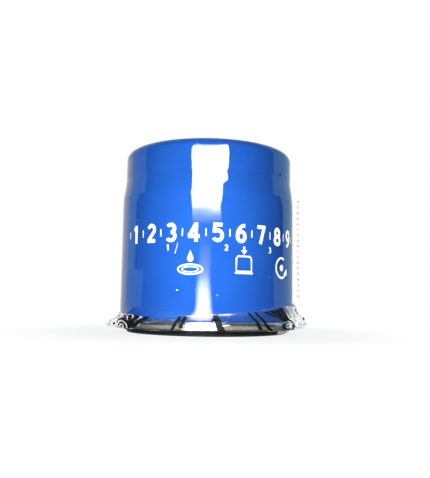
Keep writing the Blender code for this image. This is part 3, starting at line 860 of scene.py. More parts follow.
@dataclass
class ThreadedBase:
    """The base plate with its punched inlets, and the drawn hub with its stud thread."""

    plate_radius: float = 31.05 * MM
    bottom: float = 6.4 * MM
    top: float = 9.4 * MM
    hub_radius: float = 11.0 * MM
    hub_top: float = 14.9 * MM
    bore_radius: float = 8.7 * MM
    thread_pitch: float = 25.4 / 16 * MM
    thread_depth: float = 0.45 * MM
    inlet_count: int = 8
    inlet_radius: float = 3.0 * MM
    inlet_circle: float = 20.0 * MM
    edge: float = 0.25 * MM
    lead: float = 0.9 * MM
    columns: int = 72

    def plate(self) -> bpy.types.Object:
        """The flat plate with its holes, every edge rounded by the press.

        Returns:
            The plate.
        """
        curve = bpy.data.curves.new("base_plate_disc", "CURVE")
        curve.dimensions = "2D"
        curve.fill_mode = "BOTH"
        curve.extrude = (self.top - self.bottom) / 2 - self.edge
        curve.bevel_depth = self.edge
        curve.bevel_resolution = 2
        curve.offset = -self.edge
        circles = [((0.0, 0.0), self.plate_radius, 128), ((0.0, 0.0), self.hub_radius - 0.2 * MM, 64)]
        for i in range(self.inlet_count):
            angle = math.tau * i / self.inlet_count
            centre = (self.inlet_circle * math.cos(angle), self.inlet_circle * math.sin(angle))
            circles.append((centre, self.inlet_radius, 36))
        for centre, radius, count in circles:
            spline = curve.splines.new("POLY")
            spline.points.add(count - 1)
            spline.use_cyclic_u = True
            for j, point in enumerate(spline.points):
                angle = math.tau * j / count
                x = centre[0] + radius * math.cos(angle)
                point.co = (x, centre[1] + radius * math.sin(angle), 0.0, 1.0)
        source = bpy.data.objects.new("base_plate_outline", curve)
        mesh = bpy.data.meshes.new_from_object(source)
        builder = bmesh.new()
        builder.from_mesh(mesh)
        bmesh.ops.remove_doubles(builder, verts=builder.verts, dist=1e-6)
        bmesh.ops.translate(builder, verts=builder.verts, vec=(0.0, 0.0, (self.top + self.bottom) / 2))
        bpy.data.objects.remove(source)
        bpy.data.meshes.remove(mesh)
        return link_mesh("base_plate_disc", builder, 30.0)

    def bore_point(self, angle: float, height: float) -> Vector:
        """A point of the threaded bore.

        Args:
            angle: The angle round the axis.
            height: The height in the bore.

        Returns:
            The point's place.
        """
        turn = (height / self.thread_pitch - angle / math.tau) % 1.0
        flank = min(max(2.4 * abs(turn - 0.5) - 0.15, 0.0), 0.9) / 0.9
        from_end = min(height - self.bottom, self.hub_top - height)
        opening = self.thread_depth * (1 - clamp(from_end / self.lead))
        return polar(self.bore_radius + max(self.thread_depth * flank, opening), angle, height)

    def hub(self) -> bpy.types.Object:
        """The drawn hub, with the thread cut as a helix in its bore.

        Returns:
            The hub.
        """
        builder = bmesh.new()
        heights = spread(self.bottom + 0.02 * MM, self.hub_top, 46)
        lip = self.hub_radius - 0.35 * MM
        outside = fillet(
            [
                (self.bore_radius + self.thread_depth, self.hub_top, 0.0),
                (self.hub_radius, self.hub_top, 0.5 * MM),
                (self.hub_radius, self.top + 0.05 * MM, 0.0),
            ]
        )[1:] + [(lip, self.top - 0.3 * MM), (lip, self.bottom + 0.02 * MM)]
        lines = []
        for i in range(self.columns):
            angle = math.tau * i / self.columns
            places = [self.bore_point(angle, height) for height in heights]
            places += [polar(radius, angle, height) for radius, height in outside]
            lines.append([builder.verts.new(place) for place in places])
        stitch(builder, lines, closed=True, looped=True)
        bmesh.ops.recalc_face_normals(builder, faces=builder.faces)
        return link_mesh("threaded_hub", builder, 40.0)

    def build(self, steel: bpy.types.Material) -> None:
        """Build and dress the plate and the hub.

        Args:
            steel: The finish of both.
        """
        for piece in (self.plate(), self.hub()):
            dress(piece, steel, Body.HOUSING, Slot.PLATE_STEEL, "base_plate")


@dataclass(frozen=True)
class FilmEar:
    """Where the film's slack is gathered: its angle, reach, width and fullness, and how far it is milky.

    The milky part narrows towards the hem, to a share of its width.
    """

    angle: float
    reach: float
    width: float
    fullness: float
    milky: float
    hem_share: float

    def milky_reach(self, share: float) -> float:
        """How far from the ear's middle the film is milky, at a share of the section."""
        return self.milky * (self.hem_share + (1 - self.hem_share) * clamp(share / 0.62))


@dataclass(frozen=True)
class PaintedGlintLine:
    """A painted highlight: a white glint line on the film, placed by its share of the section and degrees.
    """

    share: float
    start: float
    end: float
    width: float
    whiteness: float

    def strength(self, angle: float, share: float) -> float:
        """How white the painted glint line is at a place.

        Args:
            angle: The angle round the axis.
            share: How far along the section.

        Returns:
            The value, from 0 to 1.
        """
        degrees = math.degrees(math.remainder(angle - FRONT, math.tau))
        along = (degrees - self.start) / (self.end - self.start)
        if not 0 < along < 1:
            return 0.0
        taper = min(1.0, 4 * along, 4 * (1 - along))
        return self.whiteness * taper * math.exp(-(((share - self.share) / self.width) ** 2))


@dataclass
class ShrinkFilm:
    """The clear film shrunk over the base, gathered into an ear on each side."""

    seam_radius: float = 35.05 * MM
    can_radius: float = 34.0 * MM
    gasket_radius: float = 31.2 * MM
    gap: float = 0.22 * MM
    hem: float = 0.35 * MM
    under: float = 1.65 * MM
    wall_top: float = 5.1 * MM
    tuck_top: float = 6.2 * MM
    edge: float = 7.0 * MM
    edge_drop: float = 0.7 * MM
    edge_rise: float = 5.4 * MM
    curl: float = 0.14 * MM
    wall_share: float = 0.45
    ears: tuple[FilmEar, FilmEar] = (
        FilmEar(math.radians(-8.0), 3.6 * MM, math.radians(7.5), 0.7, math.radians(27.0), 1.0),
        FilmEar(math.radians(188.0), 3.9 * MM, math.radians(5.5), 1.5, math.radians(42.0), 0.15),
    )
    # Painted highlights: white glint lines on the film, which add to its milkiness.
    creases: tuple[PaintedGlintLine, ...] = (
        PaintedGlintLine(0.845, -35.0, -16.0, 0.015, 0.9),
        PaintedGlintLine(0.945, -11.0, -5.5, 0.02, 1.0),
        PaintedGlintLine(0.985, 4.5, 17.0, 0.02, 1.0),
        PaintedGlintLine(0.455, -39.0, -19.0, 0.018, 0.4),
        PaintedGlintLine(0.455, 36.0, 52.0, 0.018, 0.6),
    )
    gather_width: float = math.radians(20.0)
    milky_blur: float = math.radians(6.0)
    columns: int = 540
    rows: int = 48
    path: list[Point] = field(default_factory=list)
    lengths: list[float] = field(default_factory=list)

    def __post_init__(self) -> None:
        """Lay out the film's section, and measure along it."""
        outer = self.seam_radius + self.gap
        body = self.can_radius + self.gap
        corners = [
            (self.gasket_radius + self.gap, self.hem, 0.0),
            (self.gasket_radius + self.gap + 0.2 * MM, self.under, 0.5 * MM),
            (outer, self.under, 0.7 * MM),
            (outer, self.wall_top, 0.7 * MM),
            (body, self.tuck_top, 0.4 * MM),
            (body, self.edge, 0.0),
        ]
        self.path = fillet(corners, 6)
        self.lengths = [0.0]
        for a, b in zip(self.path, self.path[1:]):
            self.lengths.append(self.lengths[-1] + math.dist(a, b))

    def section(self, share: float) -> Point:
        """A point of the smooth section.

        Args:
            share: How far along the section, from 0 at the hem to 1 at the upper edge.

        Returns:
            The point in the (r, z) plane.
        """
        target = clamp(share) * self.lengths[-1]
        for i in range(len(self.path) - 1):
            if target <= self.lengths[i + 1]:
                break
        span = self.lengths[i + 1] - self.lengths[i]
        part = (target - self.lengths[i]) / span if span > 0 else 0.0
        a, b = self.path[i], self.path[i + 1]
        return (a[0] + (b[0] - a[0]) * part, a[1] + (b[1] - a[1]) * part)

    def nearest_ear(self, angle: float) -> tuple[FilmEar, float]:
        """The nearer ear, and the signed angle from it.

        Args:
            angle: The angle round the axis.

        Returns:
            The ear and the angle.
        """
        pairs = [(ear, math.remainder(angle - ear.angle, math.tau)) for ear in self.ears]
        return min(pairs, key=lambda pair: abs(pair[1]))

    def belly(self, share: float) -> float:
        """How far a place is from the film's hem and edge, from 0 there to 1 half way."""
        return max(math.sin(math.pi * clamp(share)), 0.0)

    def crumple(self, angle: float, share: float) -> float:
        """How crumpled the film is at a place, from 0 to 1.

        Args:
            angle: The angle round the axis.
            share: How far along the section.

        Returns:
            The value.
        """
        away = self.nearest_ear(angle)[1]
        return math.exp(-((away / self.gather_width) ** 2)) * self.belly(share) ** 0.4

    def point(self, angle: float, share: float, lift: float = 0.0) -> Vector:
        """A point of the wrinkled film.

        Args:
            angle: The angle round the axis.
            share: How far along the section, from 0 to 1.
            lift: How far the point stands off the film.

        Returns:
            The point's place.
        """
        radius, height = self.section(share)
        ear, away = self.nearest_ear(angle)
        belly = self.belly(share)
        fold = math.exp(-((abs(away) / ear.width) ** 1.4))
        ragged = 1 + 0.18 * math.sin(17.0 * share + 2.0) + 0.1 * math.sin(41.0 * share)
        pull = ear.reach * fold * belly**ear.fullness * ragged
        gather = self.crumple(angle, share)
        creases = noise.noise(Vector((away * 34.0, share * 7.0, ear.angle)))
        fine = noise.noise(Vector((away * 80.0, share * 17.0, ear.angle + 5.0)))
        ripple = gather * (0.9 * MM * abs(creases) + 0.3 * MM * abs(fine))
        slack = noise.noise(Vector((math.cos(angle) * 9.0, math.sin(angle) * 9.0, share * 3.0)))
        ripple += 0.12 * MM * (0.5 + slack) * belly
        ripple += self.curl * max((share - 0.95) / 0.05, 0.0) ** 2
        height += self.edge_lift(angle) * max(share, 0.0) ** 4
        height += 1.1 * MM * fold * math.sin(math.tau * share)
        sway = noise.noise(Vector((share * 11.0, away * 22.0, ear.angle + 9.0)))
        turned = angle + gather * math.radians(1.6) * sway
        return polar(radius + pull + max(ripple, 0.0) + lift, turned, height)

    def milkiness(self, angle: float, share: float) -> float:
        """How milky the film is: where it is crumpled, along its painted glint lines, and in patches along
        its cut edge, where a faint painted highlight runs.

        Args:
            angle: The angle round the axis.
            share: How far along the section.

        Returns:
            The value, 0 or more.
        """
        ear, away = self.nearest_ear(angle)
        patches = noise.noise(Vector((math.cos(angle) * 5.0, math.sin(angle) * 5.0, 2.0)))
        # Painted highlight: a faint white line in patches along the cut edge.
        cut = max((share - 0.955) / 0.045, 0.0) * clamp(0.5 + 2.0 * patches)
        wander = math.radians(5.0) * noise.noise(Vector((share * 6.0, 3.0, ear.angle)))
        gathered = clamp((ear.milky_reach(share) + wander - abs(away)) / self.milky_blur)
        # Painted highlights: the white glint lines.
        painted_glints = [crease.strength(angle, share) for crease in self.creases]
        return max(gathered, 0.3 * cut, *painted_glints)

    def painted_shade(self, angle: float, share: float) -> float:
        """The painted shade: how much the film darkens what is behind it, above the seam where it stands off
        the can.

        Args:
            angle: The angle round the axis.
            share: How far along the section.

        Returns:
            The value, from 0 to 1.
        """
        above = clamp((share - 0.74) / 0.1) * min((1 - share) / 0.14, 1.0)
        return above * (1 - self.crumple(angle, share))

    def edge_lift(self, angle: float) -> float:
        """How far the upper edge lies above its mean height, which is highest by the right-hand ear.

        Args:
            angle: The angle round the axis.

        Returns:
            The lift in metres.
        """
        right, left = self.ears
        near = ((1 + math.cos(angle - right.angle - math.radians(14.0))) / 2) ** 1.8
        tuck = math.exp(-((math.remainder(angle - left.angle, math.tau) / math.radians(30.0)) ** 2))
        wave = 0.2 * MM * math.sin(7.0 * angle + 1.0)
        return self.edge_rise * near + 1.2 * MM * tuck - self.edge_drop + wave

    def share_at(self, angle: float, height: float) -> float:
        """Where the film reaches a height on its outer side.

        Args:
            angle: The angle round the axis.
            height: The height above the gasket's face.

        Returns:
            The share of the section there.
        """
        low, high = self.wall_share, 1.0
        for _ in range(20):
            middle = (low + high) / 2
            if self.point(angle, middle).z < height:
                low = middle
            else:
                high = middle
        return (low + high) / 2

    def build(self, film: bpy.types.Material) -> bpy.types.Object:
        """Build and dress the film.

        Args:
            film: The film's finish.

        Returns:
            The film.
        """
        angles = [math.tau * i / self.columns for i in range(self.columns)]
        shares = spread(0.0, 1.0, self.rows)
        piece = grid_sheet("shrunk_film", self.point, angles, shares, closed=True)
        places = [(angle, share) for angle in angles for share in shares]
        # The crumple layer holds the milkiness with its painted glints; the other layer holds the painted
        # shade above the seam.
        for name, measure in (("crumple", self.milkiness), ("painted_shade", self.painted_shade)):
            layer = piece.data.attributes.new(name, "FLOAT", "POINT")
            layer.data.foreach_set("value", [measure(*place) for place in places])
        dress(piece, film, Body.HOUSING, Slot.CLEAR_FILM, "seal_film")
        return piece


@dataclass(frozen=True)
class Stripe:
    """A stripe of ink: its bends in degrees from the front and millimetres up, and its widths in degrees."""

    places: tuple[Point, ...]
    width: float
    end_width: float


@dataclass(frozen=True)
class Curl:
    """A curled stripe: its ring's centre and half-widths, its first and last angle, and its thickness."""

    centre: Point
    half: Point
    turns: Point
    thickness: float


@dataclass
class FilmPrint:
    """Plain black stripes, curls and specks printed on the film, gathered towards its two ears."""

    film: ShrinkFilm
    lift: float = 0.05 * MM
    mesh_step: float = 0.5
    stripes: tuple[Stripe, ...] = (
        Stripe(((-62.0, 6.6), (-57.0, 5.4), (-52.0, 3.8)), 4.0, 2.4),
        Stripe(((-54.5, 6.8), (-52.0, 5.2), (-50.0, 3.0)), 5.0, 3.0),
        Stripe(((-46.0, 6.8), (-48.0, 5.2), (-49.5, 2.6)), 6.0, 3.4),
        Stripe(((-37.5, 6.5), (-42.0, 4.9), (-48.5, 2.2)), 5.4, 4.0),
        Stripe(((-45.5, 3.4), (-51.0, 2.3), (-57.0, 1.8)), 4.0, 3.0),
        Stripe(((-62.6, 2.2), (-60.6, 3.0)), 1.8, 1.8),
        Stripe(((37.0, 8.7), (44.5, 7.2), (54.0, 5.2)), 3.4, 2.2),
        Stripe(((42.0, 9.1), (48.0, 7.5), (55.5, 5.3)), 4.6, 2.6),
        Stripe(((46.8, 9.5), (51.0, 7.8), (56.5, 5.4)), 4.6, 2.6),
        Stripe(((51.0, 10.2), (54.5, 8.2), (58.0, 5.6)), 5.0, 3.0),
        Stripe(((59.5, 9.6), (60.5, 8.4), (61.5, 6.4)), 1.6, 1.0),
        Stripe(((56.2, 3.2), (57.8, 4.0)), 1.7, 1.7),
        Stripe(((66.5, 4.0), (68.0, 2.8)), 2.8, 1.68),
        Stripe(((-15.2, 6.9), (-19.4, 2.3)), 1.9, 1.9),
        Stripe(((-12.0, 7.0), (-14.6, 2.9)), 2.1, 2.1),
        Stripe(((5.0, 7.5), (8.6, 1.9)), 3.0, 4.5),
        Stripe(((3.8, 5.4), (4.6, 6.2)), 3.6, 2.16),
        Stripe(((25.0, 8.4), (30.2, 4.8), (33.0, 2.4)), 1.7, 2.2),
        Stripe(((29.6, 8.6), (36.0, 4.6), (40.5, 2.0)), 1.8, 2.6),
    )
    curls: tuple[Curl, ...] = (
        Curl((-61.5, 2.6), (11.0, 3.2), (-25.0, 150.0), 0.34),
        Curl((-61.5, 2.6), (6.2, 1.7), (-100.0, 170.0), 0.45),
        Curl((57.0, 3.6), (9.5, 2.4), (-80.0, 120.0), 0.3),
        Curl((57.0, 3.6), (5.4, 1.4), (60.0, 330.0), 0.45),
    )
    left_specks: tuple[Point, ...] = (
        (-84.0, 3.8), (-79.0, 4.9), (-75.0, 2.8), (-88.0, 3.2), (-73.0, 5.8), (-70.0, 3.4),
    )
    right_specks: tuple[Point, ...] = (
        (69.0, 10.2), (74.0, 10.8), (79.0, 10.4), (76.0, 8.8), (82.0, 7.8), (80.0, 5.4), (84.0, 3.6),
    )
    speck_width: float = 2.4
    speck_height: float = 0.9

    def spot(self, degrees: float, height: float) -> Vector:
        """A place on the film's outer side.

        Args:
            degrees: The angle from the front.
            height: The height above the gasket's face in millimetres.

        Returns:
            The place, just off the film.
        """
        angle = FRONT + math.radians(degrees)
        return self.film.point(angle, self.film.share_at(angle, height * MM), self.lift)

    def patch(self, builder: bmesh.types.BMesh, corners: Sequence[Point], across: int, along: int) -> None:
        """Add a four-cornered patch of ink that follows the film.

        Args:
            builder: The mesh that takes the patch.
            corners: Four corners as degrees from the front and height, in order.
            across: Faces from the first corner to the second.
            along: Faces from the first corner to the fourth.
        """
        a, b, c, d = (Vector(corner) for corner in corners)
        lines = []
        for u in spread(0.0, 1.0, across):
            line = []
            for v in spread(0.0, 1.0, along):
                place = (a * (1 - u) + b * u) * (1 - v) + (d * (1 - u) + c * u) * v
                line.append(builder.verts.new(self.spot(place.x, place.y)))
            lines.append(line)
        stitch(builder, lines)

    def stripe(self, builder: bmesh.types.BMesh, stripe: Stripe) -> None:
        """Add a straight or bent stripe of ink.

        Args:
            builder: The mesh that takes the stripe.
            stripe: Its bends and widths.
        """
        places = stripe.places
        halves = [width / 2 for width in spread(stripe.width, stripe.end_width, len(places) - 1)]
        for i, (start, end) in enumerate(zip(places, places[1:])):
            corners = [
                (start[0] - halves[i], start[1]),
                (start[0] + halves[i], start[1]),
                (end[0] + halves[i + 1], end[1]),
                (end[0] - halves[i + 1], end[1]),
            ]
            steps = max(4, int(math.dist(start, end) / self.mesh_step))
            self.patch(builder, corners, 4, steps)

    def curl(self, builder: bmesh.types.BMesh, curl: Curl) -> None:
        """Add a curled stripe, part of a ring.

        Args:
            builder: The mesh that takes the curl.
            curl: Its ring and its ends.
        """
        lines = []
        first, last = curl.turns
        for angle in spread(first, last, 24):
            c, s = math.cos(math.radians(angle)), math.sin(math.radians(angle))
            swell = math.sin(math.pi * (angle - first) / (last - first))
            line = []
            for scale in spread(1.0, 1.0 - curl.thickness * (0.4 + 0.6 * swell), 3):
                degrees = curl.centre[0] + curl.half[0] * scale * c
                height = curl.centre[1] + curl.half[1] * scale * s
                line.append(builder.verts.new(self.spot(degrees, height)))
            lines.append(line)
        stitch(builder, lines)

    def build(self, ink: bpy.types.Material) -> None:
        """Build and dress the print.

        Args:
            ink: The black ink.
        """
        builder = bmesh.new()
        for stripe in self.stripes:
            self.stripe(builder, stripe)
        for curl in self.curls:
            self.curl(builder, curl)
        for specks, lean in ((self.left_specks, 1.6), (self.right_specks, 1.4)):
            for degrees, height in specks:
                places = ((degrees, height), (degrees + lean, height + self.speck_height))
                self.stripe(builder, Stripe(places, self.speck_width, 0.6 * self.speck_width))
        dress(link_mesh("film_print", builder, ALL_SMOOTH), ink, Body.HOUSING)


@dataclass
class TearStrip:
    """The clear fin that runs up the can from the right-hand ear, with its row of perforations."""

    angle: float = math.radians(-8.0)
    root: float = 34.3 * MM
    width: float = 2.4 * MM
    bottom: float = 13.3 * MM
    top: float = 53.3 * MM
    pitch: float = 2.2 * MM
    dot_radius: float = 0.58 * MM
    dot_reach: float = 1.7 * MM
    dot_lift: float = 0.04 * MM
    dot_sides: int = 12
    wave_depth: float = 0.16 * MM
    wave_turn: float = 19.0

    def point(self, reach: float, height: float, side: float = 0.0) -> Vector:
        """A point of the fin, which waves a little sideways.

        Args:
            reach: How far out from the fin's root.
            height: The height above the gasket's face.
            side: How far off the fin's face.

        Returns:
            The point's place.
        """
        share = (height - self.bottom) / (self.top - self.bottom)
        wave = self.wave_depth * (reach / self.width) * math.sin(self.wave_turn * share) + side
        out = self.root + reach
        c, s = math.cos(self.angle), math.sin(self.angle)
        return Vector((out * c - wave * s, out * s + wave * c, height))

    def build(self, film: bpy.types.Material, mark: bpy.types.Material) -> list[bpy.types.Object]:
        """Build and dress the fin and its perforations.

        Args:
            film: The fin's finish.
            mark: The finish of the perforations' raised rims.

        Returns:
            The fin and the perforations.
        """
        reaches = spread(0.0, self.width, 6)
        heights = spread(self.bottom, self.top, 60)
        fin = grid_sheet("tear_strip_fin", self.point, reaches, heights)
        dress(fin, film, Body.HOUSING, Slot.CLEAR_FILM, "film_tear_strip")
        builder = bmesh.new()
        for i in range(int((self.top - self.bottom) / self.pitch)):
            middle = self.bottom + self.pitch * (i + 0.5)
            for side in (-self.dot_lift, self.dot_lift):
                rim = []
                for j in range(self.dot_sides):
                    turn = math.tau * j / self.dot_sides
                    reach = self.dot_reach + self.dot_radius * math.cos(turn)
                    height = middle + self.dot_radius * math.sin(turn)
                    rim.append(builder.verts.new(self.point(reach, height, side)))
                builder.faces.new(rim)
        dots = link_mesh("tear_strip_perforations", builder, ALL_SMOOTH)
        dress(dots, mark, Body.HOUSING)
        return [fin, dots]


@dataclass
class CanPrint:
    """White print on the can: a dial of turn numerals with ticks, and plain fitting signs below it."""

    radius: float = 34.03 * MM
    dial_height: float = 35.8 * MM
    numeral_height: float = 6.7 * MM
    numeral_weight: float = 0.19
    numeral_count: int = 9
    numeral_pitch: float = 14.0
    first_degrees: float = -50.0
    tick: float = 1.3 * MM
    sign_height: float = 24.6 * MM
    sign_numeral_height: float = 2.2 * MM
    sign_numeral_place: float = 30.6 * MM
    stroke: float = 0.55 * MM
    tick_width: float = 0.42 * MM
    cut: float = 0.5 * MM

    def digit_strokes(self, digit: str) -> list[list[Point]]:
        """The middle lines of a digit's strokes, in a box 0.44 wide and 0.82 high about x = 0.

        Args:
            digit: A digit from 1 to 9.

        Returns:
            The strokes, each as a list of points.
        """
        if digit == "9":
            return [[(-x, 0.82 - y) for x, y in stroke] for stroke in self.digit_strokes("6")]
        strokes = {
            "1": [[(-0.17, 0.62), (0.03, 0.8)], [(0.03, 0.9), (0.03, -0.08)]],
            "2": [
                self.ellipse((0.0, 0.6), (0.2, 0.22), 165.0, -35.0) + [(-0.2, 0.03)],
                [(-0.27, 0.0), (0.26, 0.0)],
            ],
            "3": [
                self.ellipse((-0.02, 0.62), (0.2, 0.2), 150.0, -90.0),
                self.ellipse((-0.02, 0.21), (0.23, 0.21), 90.0, -150.0),
            ],
            "4": [
                [(0.1, 0.86), (-0.25, 0.22)],
                [(-0.31, 0.2), (0.29, 0.2)],
                [(0.1, 0.9), (0.1, -0.08)],
            ],
            "5": [
                [(0.22, 0.82), (-0.25, 0.82)],
                [(-0.16, 0.88), (-0.19, 0.4)],
                self.ellipse((-0.02, 0.26), (0.23, 0.26), 135.0, -150.0),
            ],
            "6": [
                self.ellipse((0.0, 0.25), (0.21, 0.25)) + [(0.21, 0.25), (0.2, 0.31)],
                self.ellipse((0.2, 0.25), (0.41, 0.57), 180.0, 88.0),
            ],
            "7": [[(-0.27, 0.82), (0.27, 0.82)], [(0.2, 0.88), (-0.08, -0.08)]],
            "8": [
                self.ellipse((0.0, 0.62), (0.18, 0.2)) + [(0.18, 0.62), (0.175, 0.66)],
                self.ellipse((0.0, 0.21), (0.22, 0.21)) + [(0.22, 0.21), (0.215, 0.25)],
            ],
        }
        return strokes[digit]

    def numeral(self, builder: bmesh.types.BMesh, digit: str, height: float, centre: Point) -> None:
        """Add a flat numeral.

        Args:
            builder: The flat mesh that takes the numeral.
            digit: A digit from 1 to 9.
            height: The digit's height.
            centre: The digit's centre.
        """
        for stroke in self.digit_strokes(digit):
            points = [(centre[0] + x * height, centre[1] + (y - 0.41) * height) for x, y in stroke]
            self.line(builder, points, self.numeral_weight * height)

    def line(
        self, builder: bmesh.types.BMesh, points: Sequence[Point], width: float, closed: bool = False
    ) -> None:
        """Add a flat ribbon along a line.

        Args:
            builder: The flat mesh that takes the ribbon.
            points: The line's points.
            width: The ribbon's width.
            closed: Whether the line is a loop.
        """
        spots = [Vector(p) for p in points]
        pairs = []
        for i, spot in enumerate(spots):
            before = spots[i - 1] if closed or i else spot
            after = spots[(i + 1) % len(spots)] if closed or i < len(spots) - 1 else spot
            along = (after - before).normalized()
            normal = Vector((-along.y, along.x)) * width / 2
            pairs.append([builder.verts.new((*side, 0.0)) for side in (spot + normal, spot - normal)])
        stitch(builder, list(zip(*pairs)), looped=closed)

    def shape(self, builder: bmesh.types.BMesh, points: Sequence[Point]) -> None:
        """Add a filled flat shape from its outline."""
        builder.faces.new([builder.verts.new((x, y, 0.0)) for x, y in points])

    def ellipse(
        self, centre: Point, half: Point, start: float = 0.0, end: float = 360.0, steps: int = 32
    ) -> list[Point]:
        """Points of an ellipse or a part of one.

        Args:
            centre: The centre.
            half: Half its width and height.
            start: The first angle in degrees.
            end: The last angle in degrees.
            steps: How many segments.

        Returns:
            The points, without the last one on a whole ellipse.
        """
        points = []
        for angle in spread(start, end, steps):
            turn = math.radians(angle)
            points.append((centre[0] + half[0] * math.cos(turn), centre[1] + half[1] * math.sin(turn)))
        return points[:-1] if abs(end - start) >= 360.0 else points

    def wrap(self, builder: bmesh.types.BMesh, name: str) -> bpy.types.Object:
        """Cut a flat print into narrow strips and wrap it round the can.

        Args:
            builder: The flat print, with x round the can from the front and y up.
            name: The piece's name.

        Returns:
            The wrapped print.
        """
        low = min(v.co.x for v in builder.verts)
        high = max(v.co.x for v in builder.verts)
        count = int((high - low) / self.cut)
        for i in range(1, count + 1):
            everything = list(builder.verts) + list(builder.edges) + list(builder.faces)
            spot = (low + (high - low) * i / (count + 1), 0.0, 0.0)
            bmesh.ops.bisect_plane(builder, geom=everything, plane_co=spot, plane_no=(1.0, 0.0, 0.0))
        for vertex in builder.verts:
            vertex.co = polar(self.radius, FRONT + vertex.co.x / self.radius, vertex.co.y)
        bmesh.ops.recalc_face_normals(builder, faces=builder.faces)
        for face in builder.faces:
            if face.normal.dot(Vector((*face.calc_center_median().xy, 0.0))) < 0:
                face.normal_flip()
        return link_mesh(name, builder, ALL_SMOOTH)

    def along(self, degrees: float) -> float:
        """The distance round the can from the front, for an angle in degrees."""
        return math.radians(degrees) * self.radius

    def dial(self) -> bpy.types.Object:
        """The row of numerals with ticks between them.

        Returns:
            The wrapped dial.
        """
        builder = bmesh.new()
        for i in range(self.numeral_count):
            degrees = self.first_degrees + self.numeral_pitch * i
            self.numeral(builder, str(i + 1), self.numeral_height, (self.along(degrees), self.dial_height))
        for i in range(self.numeral_count + 1):
            x = self.along(self.first_degrees + self.numeral_pitch * (i - 0.5))
            ends = [(x, self.dial_height + end) for end in (-self.tick, self.tick)]
            self.line(builder, ends, self.tick_width)
        return self.wrap(builder, "dial_print")

    def signs(self) -> bpy.types.Object:
        """Three plain fitting signs: oil the ring, screw on, and turn by hand, each with its numeral.

        Returns:
            The wrapped signs.
        """
        builder = bmesh.new()
        ring, can, turn = ((self.along(a), self.sign_height) for a in (-10.0, 22.0, 53.0))

        def about(middle: Point, places: Sequence[Point]) -> list[Point]:
            """Places in millimetres about a sign's middle."""
            return [(middle[0] + x * MM, middle[1] + y * MM) for x, y in places]

        for half, width in (((4.3, 1.7), self.stroke), ((2.9, 0.9), 0.35 * MM)):
            self.line(builder, about(ring, self.ellipse((0.0, -1.6), half)), width, closed=True)
        drop = self.ellipse((0.0, 2.1), (1.1, 1.1), -210.0, 30.0, 24)
        self.shape(builder, about(ring, drop + [(0.0, 5.0)]))
        outline = [(-2.9, 2.4), (-2.9, -2.0), (2.9, -2.0), (2.9, 2.4), (2.3, 3.2), (-2.3, 3.2)]
        self.line(builder, about(can, outline), self.stroke, closed=True)
        self.line(builder, about(can, [(-3.4, -2.6), (3.4, -2.6)]), 0.6 * MM)
        self.line(builder, about(can, [(0.0, 6.6), (0.0, 5.2)]), 0.8 * MM)
        self.shape(builder, about(can, [(-1.2, 5.3), (1.2, 5.3), (0.0, 3.9)]))
        self.line(builder, about(turn, self.ellipse((0.0, 0.0), (3.6, 3.6), 60.0, 330.0)), 0.75 * MM)
        self.shape(builder, about(turn, [(1.62, -2.2), (4.32, -2.8), (4.02, -0.2)]))
        self.shape(builder, about(turn, self.ellipse((0.0, 0.0), (1.2, 1.2), steps=24)))
        for digit, degrees in (("1", -24.0), ("2", 11.0), ("3", 41.0)):
            place = (self.along(degrees), self.sign_numeral_place)
            self.numeral(builder, digit, self.sign_numeral_height, place)
        return self.wrap(builder, "sign_print")

    def scuffs(self) -> bpy.types.Object:
        """A hairline scratch and small chips in the paint.

        Returns:
            The wrapped scuffs.
        """
        builder = bmesh.new()
        scratch = [(-17.8, 32.2), (-18.1, 31.0), (-18.7, 29.8), (-19.4, 28.4)]
        self.line(builder, [(self.along(a), h * MM) for a, h in scratch], 0.2 * MM)
        chips = ((-17.4, 15.8, 0.32), (6.0, 14.2, 0.2), (41.0, 21.0, 0.16), (-48.0, 41.0, 0.18))
        for degrees, height, size in chips:
            centre = (self.along(degrees), height * MM)
            self.shape(builder, self.ellipse(centre, (size * MM, 0.7 * size * MM), steps=10))
        return self.wrap(builder, "paint_scuffs")

    def chip(self, ink: bpy.types.Material) -> None:
        """A dark chip in the paint of the neck, on a wrap of the neck's own radius.

        Args:
            ink: The dark finish.
        """
        builder = bmesh.new()
        centre = (self.along(54.0), 59.6 * MM)
        self.shape(builder, self.ellipse(centre, (0.75 * MM, 0.42 * MM), steps=14))
        dress(self.wrap(builder, "neck_chip"), ink, Body.HOUSING)

    def build(self, ink: bpy.types.Material) -> list[bpy.types.Object]:
        """Build and dress the prints.

        Args:
            ink: The white ink.

        Returns:
            The dial, the signs and the scuffs.
        """
        pieces = [self.dial(), self.signs(), self.scuffs()]
        for piece in pieces:
            dress(piece, ink, Body.HOUSING)
        return pieces


